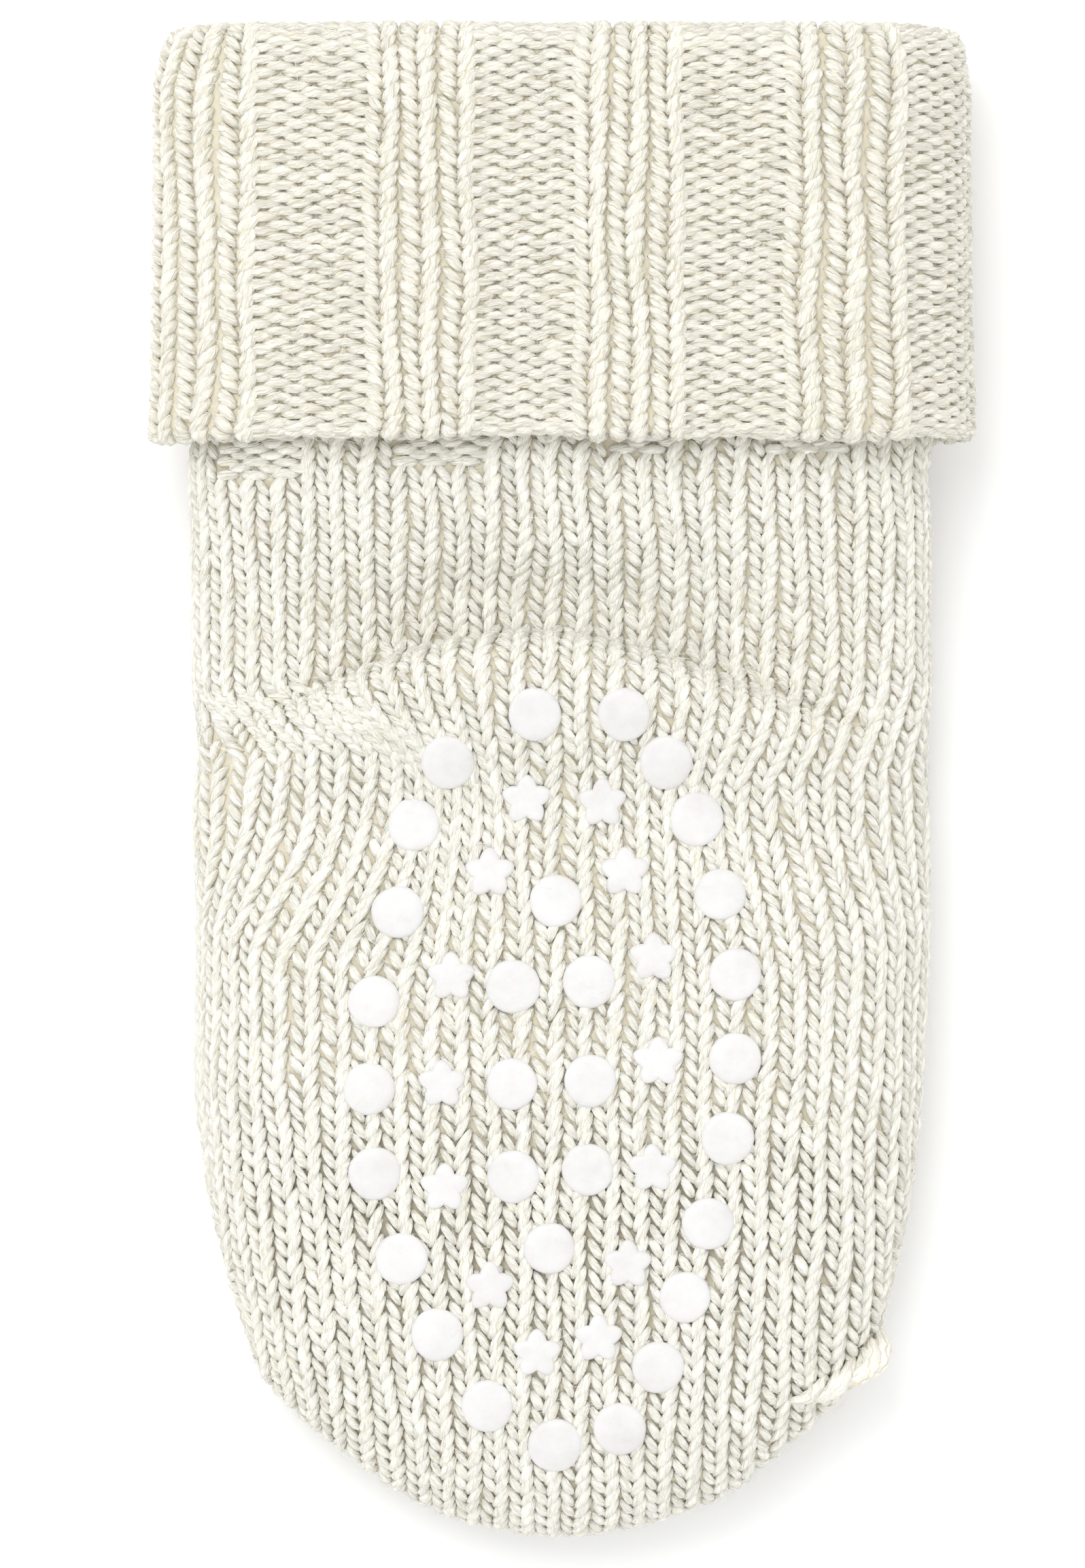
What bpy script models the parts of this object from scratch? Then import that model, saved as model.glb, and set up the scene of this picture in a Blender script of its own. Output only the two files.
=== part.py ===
"""A small child's slipper sock: a chunky knitted sock with a turned-down ribbed cuff, a grip
print of soft dots and stars under the foot, and a linked seam across the toes.

It is modelled slack and empty, lying on its front with the sole up. +Y runs from the toes to
the cuff, +X is to the right as seen from above, and z = 0 is the floor under it. All lengths
are in metres.
"""

import math

import bmesh
import bpy
import numpy as np
from mathutils import Vector
from mathutils.bvhtree import BVHTree

MM = 0.001

# Driving sizes of the knitted tube
LENGTH = 135.0 * MM  # toe tip to the fold of the cuff
FOOT_HALF = 33.1 * MM  # half the width across the foot and the leg
TOE_LENGTH = 39.9 * MM  # toe tip to where the foot is full width
HEEL_AT = 71.0 * MM  # toe tip to the start of the heel at the side folds
CUFF_DEPTH = 37.1 * MM  # fold of the cuff to its hem
WALL = 2.2 * MM  # thickness of the knitted fabric
FOOT_THICK = 18.0 * MM  # height of the slack foot
TOE_THICK = 12.5 * MM  # height of the slack toe
LEG_THICK = 14.4 * MM  # height of the slack leg
TOE_LIFT = 2.4 * MM  # the toe's underside curls this far off the floor
EDGE_ROLL = 14.0 * MM  # the upper face reaches full height this far inside the side fold
UNDER_ROLL = 9.0 * MM  # the lower face lies flat from this far inside the side fold

# Heel pouch, which flops back over the leg
HEEL_SPAN = 12.0 * MM  # length that the heel's profile is charted in
POUCH_RISE = 3.8 * MM  # height of the pouch above the foot
POUCH_LEAN = 1.2 * MM  # how far its back edge hangs over the leg
POUCH_BOW = 8.8 * MM  # the fold arches this far towards the cuff in the middle
POUCH_SHIFT = -3.2 * MM  # the arch's middle, left of the sock's own

# Turned-down cuff
CUFF_GAP = 0.7 * MM  # air between the leg and the cuff that covers it
HEM_FLARE = 0.5 * MM  # the hem stands this much further off the leg
RIB_RISE = 0.8 * MM  # knit ribs stand this far above the purl panels
RIB_REPEATS = 8  # ribs around the cuff

# Grip print and toe seam
SEAT_GAP = 0.3 * MM  # clearance under what is printed or linked on to the knit
PRINT_THICK = 0.7 * MM
DOT_RADIUS = 2.3 * MM
STAR_RADIUS = 2.25 * MM
SEAM_RADIUS = 0.5 * MM  # thread of the toe seam
SEAM_AT = 15.6 * MM  # toe tip to the seam along the sock
EAR_RADIUS = 1.4 * MM  # the seam's loose end at the side of the toes

# Mesh sizes
COLUMNS = 8 * RIB_REPEATS  # faces around the tube
TOE_ROWS = 9
FOLD_ROWS = 4
DOT_SIDES = 12
STAR_POINTS = 5

# Stations along the sock
TIP = -LENGTH / 2
TOE_END = TIP + TOE_LENGTH
HEEL = TIP + HEEL_AT
COLLAR = LENGTH / 2
HEM = COLLAR - CUFF_DEPTH
FOLD_RADIUS = CUFF_GAP / 2
FOLD_START = COLLAR - WALL - FOLD_RADIUS

# Outline of the toe: share of TOE_LENGTH from the tip, left and right shares of FOOT_HALF
TOE_OUTLINE = (
    (0.000, 0.000, 0.000),
    (0.043, 0.306, 0.302),
    (0.104, 0.452, 0.470),
    (0.165, 0.558, 0.561),
    (0.226, 0.655, 0.645),
    (0.287, 0.735, 0.727),
    (0.348, 0.806, 0.800),
    (0.470, 0.866, 0.868),
    (0.592, 0.908, 0.905),
    (0.714, 0.947, 0.938),
    (0.835, 0.975, 0.960),
    (1.000, 0.996, 0.980),
)

# Outline of foot and leg: share of the way from TOE_END to the collar, left and right
# shares of FOOT_HALF
LEG_OUTLINE = (
    (0.00, 0.996, 0.980),
    (0.16, 0.992, 0.998),
    (0.26, 1.002, 1.000),
    (0.32, 0.990, 0.994),
    (0.38, 1.004, 1.002),
    (0.52, 1.004, 1.000),
    (0.58, 1.012, 0.990),
    (0.63, 0.998, 1.006),
    (1.00, 0.999, 1.005),
)

# Profile over the heel: share of HEEL_SPAN from the heel line (towards the cuff is plus),
# blend from leg height to foot height, share of POUCH_RISE, share of POUCH_LEAN
HEEL_PROFILE = (
    (-1.00, 1.00, 0.00, 0.00),
    (-0.66, 1.00, -0.26, 0.00),
    (-0.42, 1.00, 0.42, 0.00),
    (-0.24, 0.97, 0.92, 0.15),
    (-0.12, 0.88, 1.00, 0.55),
    (-0.03, 0.68, 0.82, 0.95),
    (0.04, 0.36, 0.42, 0.80),
    (0.10, 0.10, 0.08, 0.10),
    (0.18, 0.00, 0.00, -0.30),
    (0.34, 0.00, 0.00, 0.00),
)

# Grip print: sideways share of FOOT_HALF (right is plus), share of HEEL_AT from the toe tip
RING_DOTS = (
    (-0.441, 0.790),
    (-0.505, 0.678),
    (-0.518, 0.569),
    (-0.503, 0.463),
    (-0.432, 0.356),
    (-0.336, 0.261),
    (-0.202, 0.171),
    (-0.020, 0.121),
    (0.154, 0.142),
    (0.257, 0.220),
    (0.329, 0.308),
    (0.391, 0.400),
    (0.443, 0.507),
    (0.463, 0.607),
    (0.463, 0.712),
    (0.423, 0.812),
    (0.360, 0.906),
    (0.277, 0.976),
    (0.165, 1.036),
    (-0.074, 1.036),
    (-0.307, 0.976),
    (-0.399, 0.899),
)
INNER_DOTS = (
    (-0.018, 0.804),
    (-0.132, 0.697),
    (0.072, 0.703),
    (-0.136, 0.575),
    (0.075, 0.579),
    (-0.132, 0.459),
    (0.068, 0.468),
    (-0.035, 0.369),
)
STARS = (
    (-0.195, 0.839),
    (0.167, 0.840),
    (-0.298, 0.709),
    (0.244, 0.733),
    (-0.323, 0.575),
    (0.257, 0.603),
    (-0.316, 0.445),
    (0.241, 0.469),
    (-0.195, 0.321),
    (0.176, 0.349),
    (-0.068, 0.237),
    (0.097, 0.256),
    (-0.096, 0.930),
    (0.107, 0.926),
)

COLLECTION = "Slipper sock"


# Curves and tables

def column(table, number):
    """One column of a table as an array."""
    return np.array([row[number] for row in table])


def smooth_through(stations, values, at):
    """A smooth curve through charted values that never swings past them."""
    step = np.diff(stations)
    slope = np.diff(values) / step
    tangent = np.zeros(len(stations))
    same = slope[1:] * slope[:-1] > 0
    mean = 2 * slope[1:] * slope[:-1] / np.where(same, slope[1:] + slope[:-1], 1.0)
    tangent[1:-1] = np.where(same, mean, 0.0)
    tangent[0] = slope[0]
    tangent[-1] = slope[-1]
    at = np.clip(at, stations[0], stations[-1])
    spot = np.clip(np.searchsorted(stations, at, side="right") - 1, 0, len(step) - 1)
    width = step[spot]
    t = (at - stations[spot]) / width
    start = (1 + 2 * t) * (1 - t) ** 2 * values[spot] + t * (1 - t) ** 2 * width * tangent[spot]
    end = t * t * (3 - 2 * t) * values[spot + 1] - t * t * (1 - t) * width * tangent[spot + 1]
    return start + end


def ease(value):
    """Zero to one with a soft start and end."""
    t = np.clip(value, 0.0, 1.0)
    return t * t * (3 - 2 * t)


# Form of the slack sock

def toe_angle(share):
    """Turns a share of the toe's length into a quarter turn, so that the tip comes out round."""
    return np.arccos(1 - np.clip(share, 0.0, 1.0))


def outline(v):
    """The left and right side folds at a station along the sock."""
    toe = toe_angle((v - TIP) / TOE_LENGTH)
    rows = toe_angle(column(TOE_OUTLINE, 0))
    along = (v - TOE_END) / (COLLAR - TOE_END)
    sides = []
    for number in (1, 2):
        tip = smooth_through(rows, column(TOE_OUTLINE, number), toe)
        leg = smooth_through(column(LEG_OUTLINE, 0), column(LEG_OUTLINE, number), along)
        sides.append(FOOT_HALF * np.where(v < TOE_END, tip, leg))
    return -sides[0], sides[1]


def outline_path():
    """The side folds as one line: up the left from the toe tip, and up the right."""
    turn = np.linspace(0, np.pi / 2, 60)
    v = np.concatenate([TIP + TOE_LENGTH * (1 - np.cos(turn)), np.linspace(TOE_END, COLLAR, 60)[1:]])
    left, right = outline(v)
    past = COLLAR + EDGE_ROLL
    x = np.concatenate([[left[-1]], left[::-1], right[1:], [right[-1]]])
    y = np.concatenate([[past], v[::-1], v[1:], [past]])
    return np.stack([x, y], axis=1)


def edge_distance(x, y):
    """How far inside the side folds each point lies, seen from above."""
    path = outline_path()
    start = path[:-1]
    run = path[1:] - start
    point = np.stack([x.ravel(), y.ravel()], axis=1)[:, None, :] - start[None]
    share = (point * run).sum(2) / (run * run).sum(1)
    gap = point - np.clip(share, 0, 1)[:, :, None] * run
    nearest = np.sqrt((gap * gap).sum(2).min(1)).reshape(x.shape)
    left, right = outline(y)
    sideways = np.maximum(np.minimum(x - left, right - x), 0.0)
    return np.minimum(nearest, sideways)


def rounding(distance, roll):
    """Height share of a face that rolls up from the side fold and then lies level."""
    t = np.clip(distance / roll, 0.0, 1.0)
    return np.sqrt(1 - (1 - t) ** 2.3)


def heel_profile(v, number):
    """A column of the heel's chart at a station."""
    return smooth_through(column(HEEL_PROFILE, 0), column(HEEL_PROFILE, number), (v - HEEL) / HEEL_SPAN)


def underside(v):
    """Height of the flat underside: the toe curls up, and the leg lies on its own cuff."""
    toe = TOE_LIFT * (1 - ease((v - TIP - 0.25 * TOE_LENGTH) / (0.6 * TOE_LENGTH)))
    under_cuff = WALL + CUFF_GAP + RIB_RISE + HEM_FLARE
    cuff = under_cuff * ease((v - HEEL - 0.5 * HEEL_SPAN) / (HEM - HEEL - 0.5 * HEEL_SPAN))
    return toe + cuff


def skin(around, v):
    """A point on the knit's outer face.

    around runs from 0 at the right side fold over the sole to 1 at the left fold, and on
    under the instep to 2. v is the station along the sock.
    """
    left, right = outline(v)
    middle = (left + right) / 2
    half = (right - left) / 2
    x = middle + half * np.cos(np.pi * around)
    upper = np.mod(around, 2.0) < 1
    share = np.clip(np.abs(x - POUCH_SHIFT * (1 - (x / FOOT_HALF) ** 2)) / FOOT_HALF, 0, 1)
    crown = np.where(upper, (1 - share**2) ** 1.8, 0.0)
    broad = (1 - share**4) ** 1.5
    near = (v - HEEL) / HEEL_SPAN
    window = ease((near + 1.0) / 0.9) * (1 - ease((near - 0.1) / 1.5))
    lean = POUCH_LEAN * heel_profile(v, 3) * crown
    y = v + POUCH_BOW * crown * window + lean
    low = underside(v)
    foot = heel_profile(v, 1)
    thick = LEG_THICK + (FOOT_THICK - LEG_THICK) * foot * np.where(near > -1, broad, 1.0)
    toe = ease((v - TIP) / (1.1 * TOE_LENGTH))
    thick = TOE_THICK + (thick - TOE_THICK) * toe
    pouch = POUCH_RISE * heel_profile(v, 2) * np.where(upper, (1 - share**2.5) ** 1.2, 0.0)
    fold_height = low + 0.44 * (LEG_THICK + (TOE_THICK - LEG_THICK) * (1 - toe))
    distance = edge_distance(x, y)
    top = fold_height + (low + thick + pouch - fold_height) * rounding(distance, EDGE_ROLL)
    bottom = fold_height - (fold_height - low) * rounding(distance, UNDER_ROLL)
    return np.stack([x, y, np.where(upper, top, bottom)], axis=-1)


def skin_normal(around, v):
    """The outward direction of the knit's outer face."""
    small = 0.002
    across = skin(around + small, v) - skin(around - small, v)
    along = skin(around, v + small * FOOT_HALF) - skin(around, v - small * FOOT_HALF)
    normal = np.cross(along, across)
    return normal / np.linalg.norm(normal, axis=-1, keepdims=True)


def even_ring(v):
    """COLUMNS points evenly spaced around the tube at one station."""
    points = []
    for start in (0.0, 1.0):
        around = np.linspace(start, start + 1, 241)
        around[-1] -= 1e-9
        line = skin(around, np.full(around.shape, v))
        length = np.concatenate([[0], np.cumsum(np.linalg.norm(np.diff(line, axis=0), axis=1))])
        even = np.linspace(0, length[-1], COLUMNS // 2 + 1)[:-1]
        spots = np.interp(even, length, around)
        points.append(skin(spots, np.full(spots.shape, v)))
    return np.concatenate(points)


def stations():
    """Stations of the body's rings, from next to the toe tip to the start of the cuff's fold."""
    turn = np.linspace(0, np.pi / 2, TOE_ROWS + 2)[2:]
    toe = TIP + TOE_LENGTH * (1 - np.cos(turn))
    heel = HEEL + HEEL_SPAN * column(HEEL_PROFILE, 0)
    foot = np.linspace(toe[-1], heel[0], 4)[1:-1]
    leg = np.linspace(heel[-1], HEM, 3)[1:]
    under_cuff = np.linspace(HEM, FOLD_START, 3)[1:]
    return np.concatenate([toe, foot, heel, leg, under_cuff])


def stood_off(ring, distance):
    """A ring moved outwards from the tube by a distance for each of its points."""
    ahead = np.roll(ring, -1, axis=0) - np.roll(ring, 1, axis=0)
    out = np.stack([ahead[:, 2], np.zeros(len(ring)), -ahead[:, 0]], axis=1)
    out = out / np.linalg.norm(out, axis=1, keepdims=True)
    return ring + out * np.asarray(distance)[..., None]


def rib_wave():
    """One for the columns of a knit rib and zero for those of a purl panel."""
    return (((np.arange(COLUMNS) - 4) % 8) < 4).astype(float)


def cuff_rings():
    """Rings of the cuff: around its fold at the collar, and down over the leg to the hem."""
    rings = []
    collar = even_ring(FOLD_START)
    for step in range(1, FOLD_ROWS + 1):
        turn = np.pi * step / FOLD_ROWS
        off = FOLD_RADIUS * (1 - math.cos(turn))
        ring = stood_off(collar, np.full(COLUMNS, off))
        ring[:, 1] += FOLD_RADIUS * math.sin(turn)
        rings.append(ring)
    for share in (0.08, 0.5, 0.93, 1.0):
        v = FOLD_START + (HEM - FOLD_START) * share
        rise = RIB_RISE * rib_wave() * min(share / 0.08, 1.0)
        flare = HEM_FLARE * share**3
        rings.append(stood_off(even_ring(v), CUFF_GAP + rise + flare))
    return rings


# Building in Blender

def clear_scene():
    for old in list(bpy.data.objects):
        bpy.data.objects.remove(old, do_unlink=True)


def material(name, colour, roughness):
    made = bpy.data.materials.new(name)
    made.use_nodes = True
    shader = made.node_tree.nodes["Principled BSDF"]
    shader.inputs["Base Color"].default_value = (*colour, 1.0)
    shader.inputs["Roughness"].default_value = roughness
    shader.inputs["Metallic"].default_value = 0.0
    made.diffuse_color = (*colour, 1.0)
    return made


def add_object(name, data, collection, surface):
    made = bpy.data.objects.new(name, data)
    data.materials.append(surface)
    collection.objects.link(made)
    return made


def knitted_sock(collection, surface):
    """The whole knit as one sheet lofted through its rings, thickened to a wall."""
    rings = [even_ring(v) for v in stations()] + cuff_rings()
    sheet = bmesh.new()
    tip = sheet.verts.new(skin(np.array([0.5]), np.array([TIP + 1e-6]))[0])
    rows = [[sheet.verts.new(point) for point in ring] for ring in rings]
    for j in range(COLUMNS):
        sheet.faces.new((tip, rows[0][j], rows[0][(j + 1) % COLUMNS]))
    for lower, higher in zip(rows, rows[1:]):
        for j in range(COLUMNS):
            k = (j + 1) % COLUMNS
            sheet.faces.new((lower[j], higher[j], higher[k], lower[k]))
    mesh = bpy.data.meshes.new("knit_upper")
    sheet.to_mesh(mesh)
    sheet.free()
    mesh.shade_smooth()
    sock = add_object("knit_upper", mesh, collection, surface)
    wall = sock.modifiers.new("Fabric", "SOLIDIFY")
    wall.thickness = WALL
    wall.offset = -1.0
    return sock


def sole_station(x, y):
    """The station whose skin lies over a plan position, found by halving the interval."""
    low = np.full(x.shape, TIP)
    high = np.full(x.shape, COLLAR)
    for _ in range(40):
        v = (low + high) / 2
        left, right = outline(v)
        cosine = np.clip((x - (left + right) / 2) / ((right - left) / 2), -1, 1)
        point = skin(np.arccos(cosine) / np.pi, v)
        short = point[:, 1] < y
        low = np.where(short, v, low)
        high = np.where(short, high, v)
    return np.arccos(cosine) / np.pi, v


def printed(name, plan, centre, sole, collection, surface):
    """A soft printed shape that follows the sole, from its flat outline.

    The outline is made a face, raised to a low block with a rounded rim and a crowned
    middle, and every vertex is then laid on the sole's facets at its own height over them.
    """
    block = bmesh.new()
    flat = block.faces.new([block.verts.new((x, y, 0.0)) for x, y in plan])
    lifted = bmesh.ops.extrude_face_region(block, geom=[flat])
    top = next(item for item in lifted["geom"] if isinstance(item, bmesh.types.BMFace))
    for vertex in top.verts:
        vertex.co.z = 0.5 * PRINT_THICK
    bmesh.ops.inset_region(block, faces=[top], thickness=0.18 * DOT_RADIUS, depth=0.0)
    for vertex in top.verts:
        vertex.co.z = 0.9 * PRINT_THICK
    block.normal_update()
    ends = [face for face in block.faces if len(face.verts) > 4]
    peaks = bmesh.ops.poke(block, faces=ends)["verts"]
    for vertex in peaks:
        if vertex.co.z > 0.5 * PRINT_THICK:
            vertex.co.z = PRINT_THICK
    bmesh.ops.recalc_face_normals(block, faces=block.faces)

    around, v = sole_station(np.array([centre[0]]), np.array([centre[1]]))
    seat = skin(around, v)[0]
    normal = skin_normal(around, v)[0]
    side = np.cross([0.0, 1.0, 0.0], normal)
    side = side / np.linalg.norm(side)
    front = np.cross(normal, side)
    local = np.array([vertex.co[:] for vertex in block.verts])
    plan_place = seat + local[:, :1] * side + local[:, 1:2] * front
    around, v = sole_station(plan_place[:, 0], plan_place[:, 1])
    faces_out = skin_normal(around, v)
    above = skin(around, v) + faces_out * FOOT_THICK / 4
    for vertex, start, out in zip(block.verts, above, faces_out):
        laid = sole.ray_cast(Vector(start), Vector(-out))[0]
        vertex.co = laid + Vector(out) * (SEAT_GAP + vertex.co.z)
    mesh = bpy.data.meshes.new(name)
    block.to_mesh(mesh)
    block.free()
    mesh.shade_smooth()
    add_object(name, mesh, collection, surface)


def dot_plan():
    turn = np.linspace(0, 2 * np.pi, DOT_SIDES, endpoint=False)
    return np.stack([DOT_RADIUS * np.cos(turn), DOT_RADIUS * np.sin(turn)], axis=1)


def star_plan():
    turn = np.pi / 2 + np.arange(2 * STAR_POINTS) * np.pi / STAR_POINTS
    radius = STAR_RADIUS * np.where(np.arange(2 * STAR_POINTS) % 2 == 0, 1.0, 0.58)
    return np.stack([radius * np.cos(turn), radius * np.sin(turn)], axis=1)


def grip_print(sock, collection, surface):
    """The ring of dots, the dots inside it and the stars between them."""
    sole = BVHTree.FromObject(sock, bpy.context.evaluated_depsgraph_get())
    for number, (side, along) in enumerate(RING_DOTS + INNER_DOTS, start=1):
        centre = (side * FOOT_HALF, TIP + along * HEEL_AT)
        printed(f"grip_dot_{number:02d}", dot_plan(), centre, sole, collection, surface)
    for number, (side, along) in enumerate(STARS, start=1):
        centre = (side * FOOT_HALF, TIP + along * HEEL_AT)
        printed(f"grip_star_{number:02d}", star_plan(), centre, sole, collection, surface)


def toe_seam(collection, surface):
    """The linked seam: a ridge across the front of the toes, with its loose end at the right.

    It starts under the left side fold, crosses the underside of the toes and comes up over
    the right fold, where the ends of the linking thicken into a small ear.
    """
    around = np.concatenate([np.linspace(1.08, 2.02, 23), np.linspace(2.04, 2.2, 12)])
    v = np.full(around.shape, TIP + SEAM_AT)
    swell = ease((around - 2.04) / 0.07) * np.sqrt(1 - ease((around - 2.12) / 0.085))
    radius = SEAM_RADIUS + (EAR_RADIUS - SEAM_RADIUS) * swell
    route = skin(around, v) + skin_normal(around, v) * (SEAT_GAP + radius)[:, None]
    curve = bpy.data.curves.new("toe_seam", "CURVE")
    curve.dimensions = "3D"
    curve.bevel_depth = SEAM_RADIUS
    curve.bevel_resolution = 1
    curve.use_fill_caps = True
    line = curve.splines.new("POLY")
    line.points.add(len(route) - 1)
    for point, place, thick in zip(line.points, route, radius):
        point.co = (*place, 1.0)
        point.radius = thick / SEAM_RADIUS
    line.use_smooth = True
    add_object("toe_seam", curve, collection, surface)


def build():
    clear_scene()
    collection = bpy.data.collections.new(COLLECTION)
    bpy.context.scene.collection.children.link(collection)
    yarn = material("wool yarn", (0.86, 0.84, 0.76), 0.92)
    silicone = material("silicone print", (0.91, 0.90, 0.89), 0.38)
    sock = knitted_sock(collection, yarn)
    toe_seam(collection, yarn)
    grip_print(sock, collection, silicone)


build()
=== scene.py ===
# %% [markdown]
# # A child's slipper sock, stitch by stitch
#
# The object is a chunky knitted sock that lies slack on its front, with the sole up. Its
# ribbed cuff is turned down over the leg, soft silicone dots and stars are printed under the
# foot, and a linked seam closes the toes. A knit like this could be a smooth shell with a bump
# texture, but its stitches are about 2.5 mm long and stand out against the light at every
# edge. So each visible loop of yarn is made as a small closed form, laid over the surface that
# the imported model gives, and only the fibres in the yarn are left to bump.

import bpy
import numpy as np
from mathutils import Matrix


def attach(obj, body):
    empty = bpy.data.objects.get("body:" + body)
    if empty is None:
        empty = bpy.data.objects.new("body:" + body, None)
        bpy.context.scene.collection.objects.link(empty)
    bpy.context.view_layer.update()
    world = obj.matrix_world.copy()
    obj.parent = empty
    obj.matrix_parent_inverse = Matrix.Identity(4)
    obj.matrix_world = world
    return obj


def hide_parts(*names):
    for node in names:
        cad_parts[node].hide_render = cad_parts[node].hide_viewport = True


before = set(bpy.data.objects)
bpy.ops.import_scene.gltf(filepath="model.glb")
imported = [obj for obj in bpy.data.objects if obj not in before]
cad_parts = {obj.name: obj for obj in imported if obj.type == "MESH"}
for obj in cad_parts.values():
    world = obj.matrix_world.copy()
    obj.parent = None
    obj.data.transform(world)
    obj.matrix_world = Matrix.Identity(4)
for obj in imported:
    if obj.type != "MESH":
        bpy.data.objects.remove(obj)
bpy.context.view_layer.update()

# %% [markdown]
# ## Camera, floor and light
#
# The photograph looks straight down on the sock with a long lens, so the camera is a
# perspective one a metre up. Its lens length follows from the frame's width in the real world:
# 1596 pixels of the photograph span 97.08 mm. The light is that of a small product tent: the
# whole room glows softly, and one broad panel above adds a little direction, so that stitches
# keep soft shade in their grooves. The floor is a plain pale sheet.

# %% Camera
MM = 0.001
FRAME_WIDTH = 97.08 * MM
CAMERA_RISE = 1000 * MM
FOCUS_HEIGHT = 9 * MM
AIM_X = -1.76 * MM
AIM_Y = -0.06 * MM
SENSOR = 36.0


def stand(name, data):
    """A new object of the scene that shows this data."""
    made = bpy.data.objects.new(name, data)
    bpy.context.scene.collection.objects.link(made)
    return made


lens = bpy.data.cameras.new("camera")
lens.sensor_fit = "HORIZONTAL"
lens.sensor_width = SENSOR
lens.lens = SENSOR * CAMERA_RISE / FRAME_WIDTH
lens.clip_start = 0.01
camera = stand("camera", lens)
camera.location = (AIM_X, AIM_Y, FOCUS_HEIGHT + CAMERA_RISE)
bpy.context.scene.camera = camera
print("lens in mm:", round(lens.lens, 1))


# %% Colour and node helpers
def linear(code):
    """Linear colour from an sRGB hex code: ((c + 0.055) / 1.055) ^ 2.4 above the dark toe."""
    part = np.array([int(code[i:i + 2], 16) for i in (1, 3, 5)]) / 255
    light = np.where(part <= 0.04045, part / 12.92, ((part + 0.055) / 1.055) ** 2.4)
    return (*light.tolist(), 1.0)


def add(tree, kind, settings=None, **links):
    """Adds one node. Settings name its own properties, and links name its inputs, each with a
    value or with the output socket that feeds it. A number as in _2 picks an input by place."""
    node = tree.nodes.new(kind)
    for name, value in (settings or {}).items():
        setattr(node, name, value)
    for name, value in links.items():
        key = int(name[1:]) if name[0] == "_" else name.replace("_", " ")
        if isinstance(value, bpy.types.NodeSocket):
            tree.links.new(value, node.inputs[key])
        else:
            node.inputs[key].default_value = value
    return node


def ramp(tree, value, stops):
    """A colour ramp through (place, hex colour) stops, read at a value."""
    node = add(tree, "ShaderNodeValToRGB", Fac=value)
    while len(node.color_ramp.elements) < len(stops):
        node.color_ramp.elements.new(0.5)
    for element, (place, code) in zip(node.color_ramp.elements, stops):
        element.position = place
        element.color = linear(code)
    return node.outputs["Color"]


def noise(tree, vector, scale, detail, roughness=0.5):
    """Soft random values at a vector."""
    node = add(tree, "ShaderNodeTexNoise", Vector=vector, Scale=scale, Detail=detail,
               Roughness=roughness)
    return node.outputs["Fac"]


def work_out(tree, operation, *values):
    """One step of arithmetic on numbers or sockets."""
    links = {f"_{place}": value for place, value in enumerate(values)}
    return add(tree, "ShaderNodeMath", {"operation": operation}, **links).outputs["Value"]


def new_material(name):
    """An empty node material and its tree."""
    made = bpy.data.materials.new(name)
    made.use_nodes = True
    made.node_tree.nodes.clear()
    return made, made.node_tree


def surface(tree, **links):
    """Ends a material's tree in a Principled shader with these inputs."""
    shader = add(tree, "ShaderNodeBsdfPrincipled", **links)
    add(tree, "ShaderNodeOutputMaterial", Surface=shader.outputs["BSDF"])


# %% Floor and light
paper, tree = new_material("pale_studio_paper")
surface(tree, Base_Color=linear("#FDFDFD"), Roughness=0.9, Specular_IOR_Level=0.2)

FLOOR_HALF = 1.5
corners = [(-1, -1), (1, -1), (1, 1), (-1, 1)]
sheet = bpy.data.meshes.new("floor")
sheet.from_pydata([(FLOOR_HALF * x, FLOOR_HALF * y, 0.0) for x, y in corners], [], [(0, 1, 2, 3)])
sheet.materials.append(paper)
floor = stand("floor", sheet)

ROOM_LIGHT = 1.08
PANEL_WATTS = 2.6
PANEL_SIZE = 0.5
PANEL_X, PANEL_Y, PANEL_Z = -0.25, 0.35, 0.8
world = bpy.data.worlds.new("studio")
world.use_nodes = True
world.node_tree.nodes["Background"].inputs["Color"].default_value = linear("#FFFFFF")
world.node_tree.nodes["Background"].inputs["Strength"].default_value = ROOM_LIGHT
bpy.context.scene.world = world

panel = bpy.data.lights.new("panel", "AREA")
panel.shape = "RECTANGLE"
panel.size = PANEL_SIZE
panel.size_y = PANEL_SIZE
panel.energy = PANEL_WATTS
lamp = stand("panel", panel)
lamp.location = (PANEL_X, PANEL_Y, PANEL_Z)
lamp.rotation_euler = (-np.arctan2(PANEL_Y, PANEL_Z), np.arctan2(PANEL_X, 0.87), 0.0)
bpy.context.scene.view_settings.view_transform = "Standard"
print("room light", ROOM_LIGHT, "panel watts", PANEL_WATTS)

# %% [markdown]
# ## The form of the slack sock
#
# The knit is one tube, closed at the toes and flattened by its own weight. Its outer face is a
# function of two parameters: how far around the tube a point lies, and its station along the
# sock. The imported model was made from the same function, apart from a softer blend before the
# heel, and it is written out here again by value, because this script reads nothing but the
# frame. Everything that follows lies on it.

# %% Sizes of the sock
LENGTH = 135.0 * MM
FOOT_HALF = 33.1 * MM
TOE_LENGTH = 39.9 * MM
HEEL_AT = 71.0 * MM
CUFF_DEPTH = 37.1 * MM
WALL = 2.2 * MM
FOOT_THICK = 18.0 * MM
TOE_THICK = 12.5 * MM
LEG_THICK = 14.4 * MM
TOE_LIFT = 2.4 * MM
EDGE_ROLL = 14.0 * MM
UNDER_ROLL = 9.0 * MM
HEEL_SPAN = 12.0 * MM
POUCH_RISE = 3.8 * MM
POUCH_LEAN = 1.2 * MM
POUCH_BOW = 8.8 * MM
POUCH_SHIFT = -3.2 * MM
CUFF_GAP = 0.7 * MM
HEM_FLARE = 0.5 * MM
RIB_RISE = 0.8 * MM
DOT_RADIUS = 2.3 * MM
STAR_RADIUS = 2.25 * MM
SEAM_AT = 15.6 * MM

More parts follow.
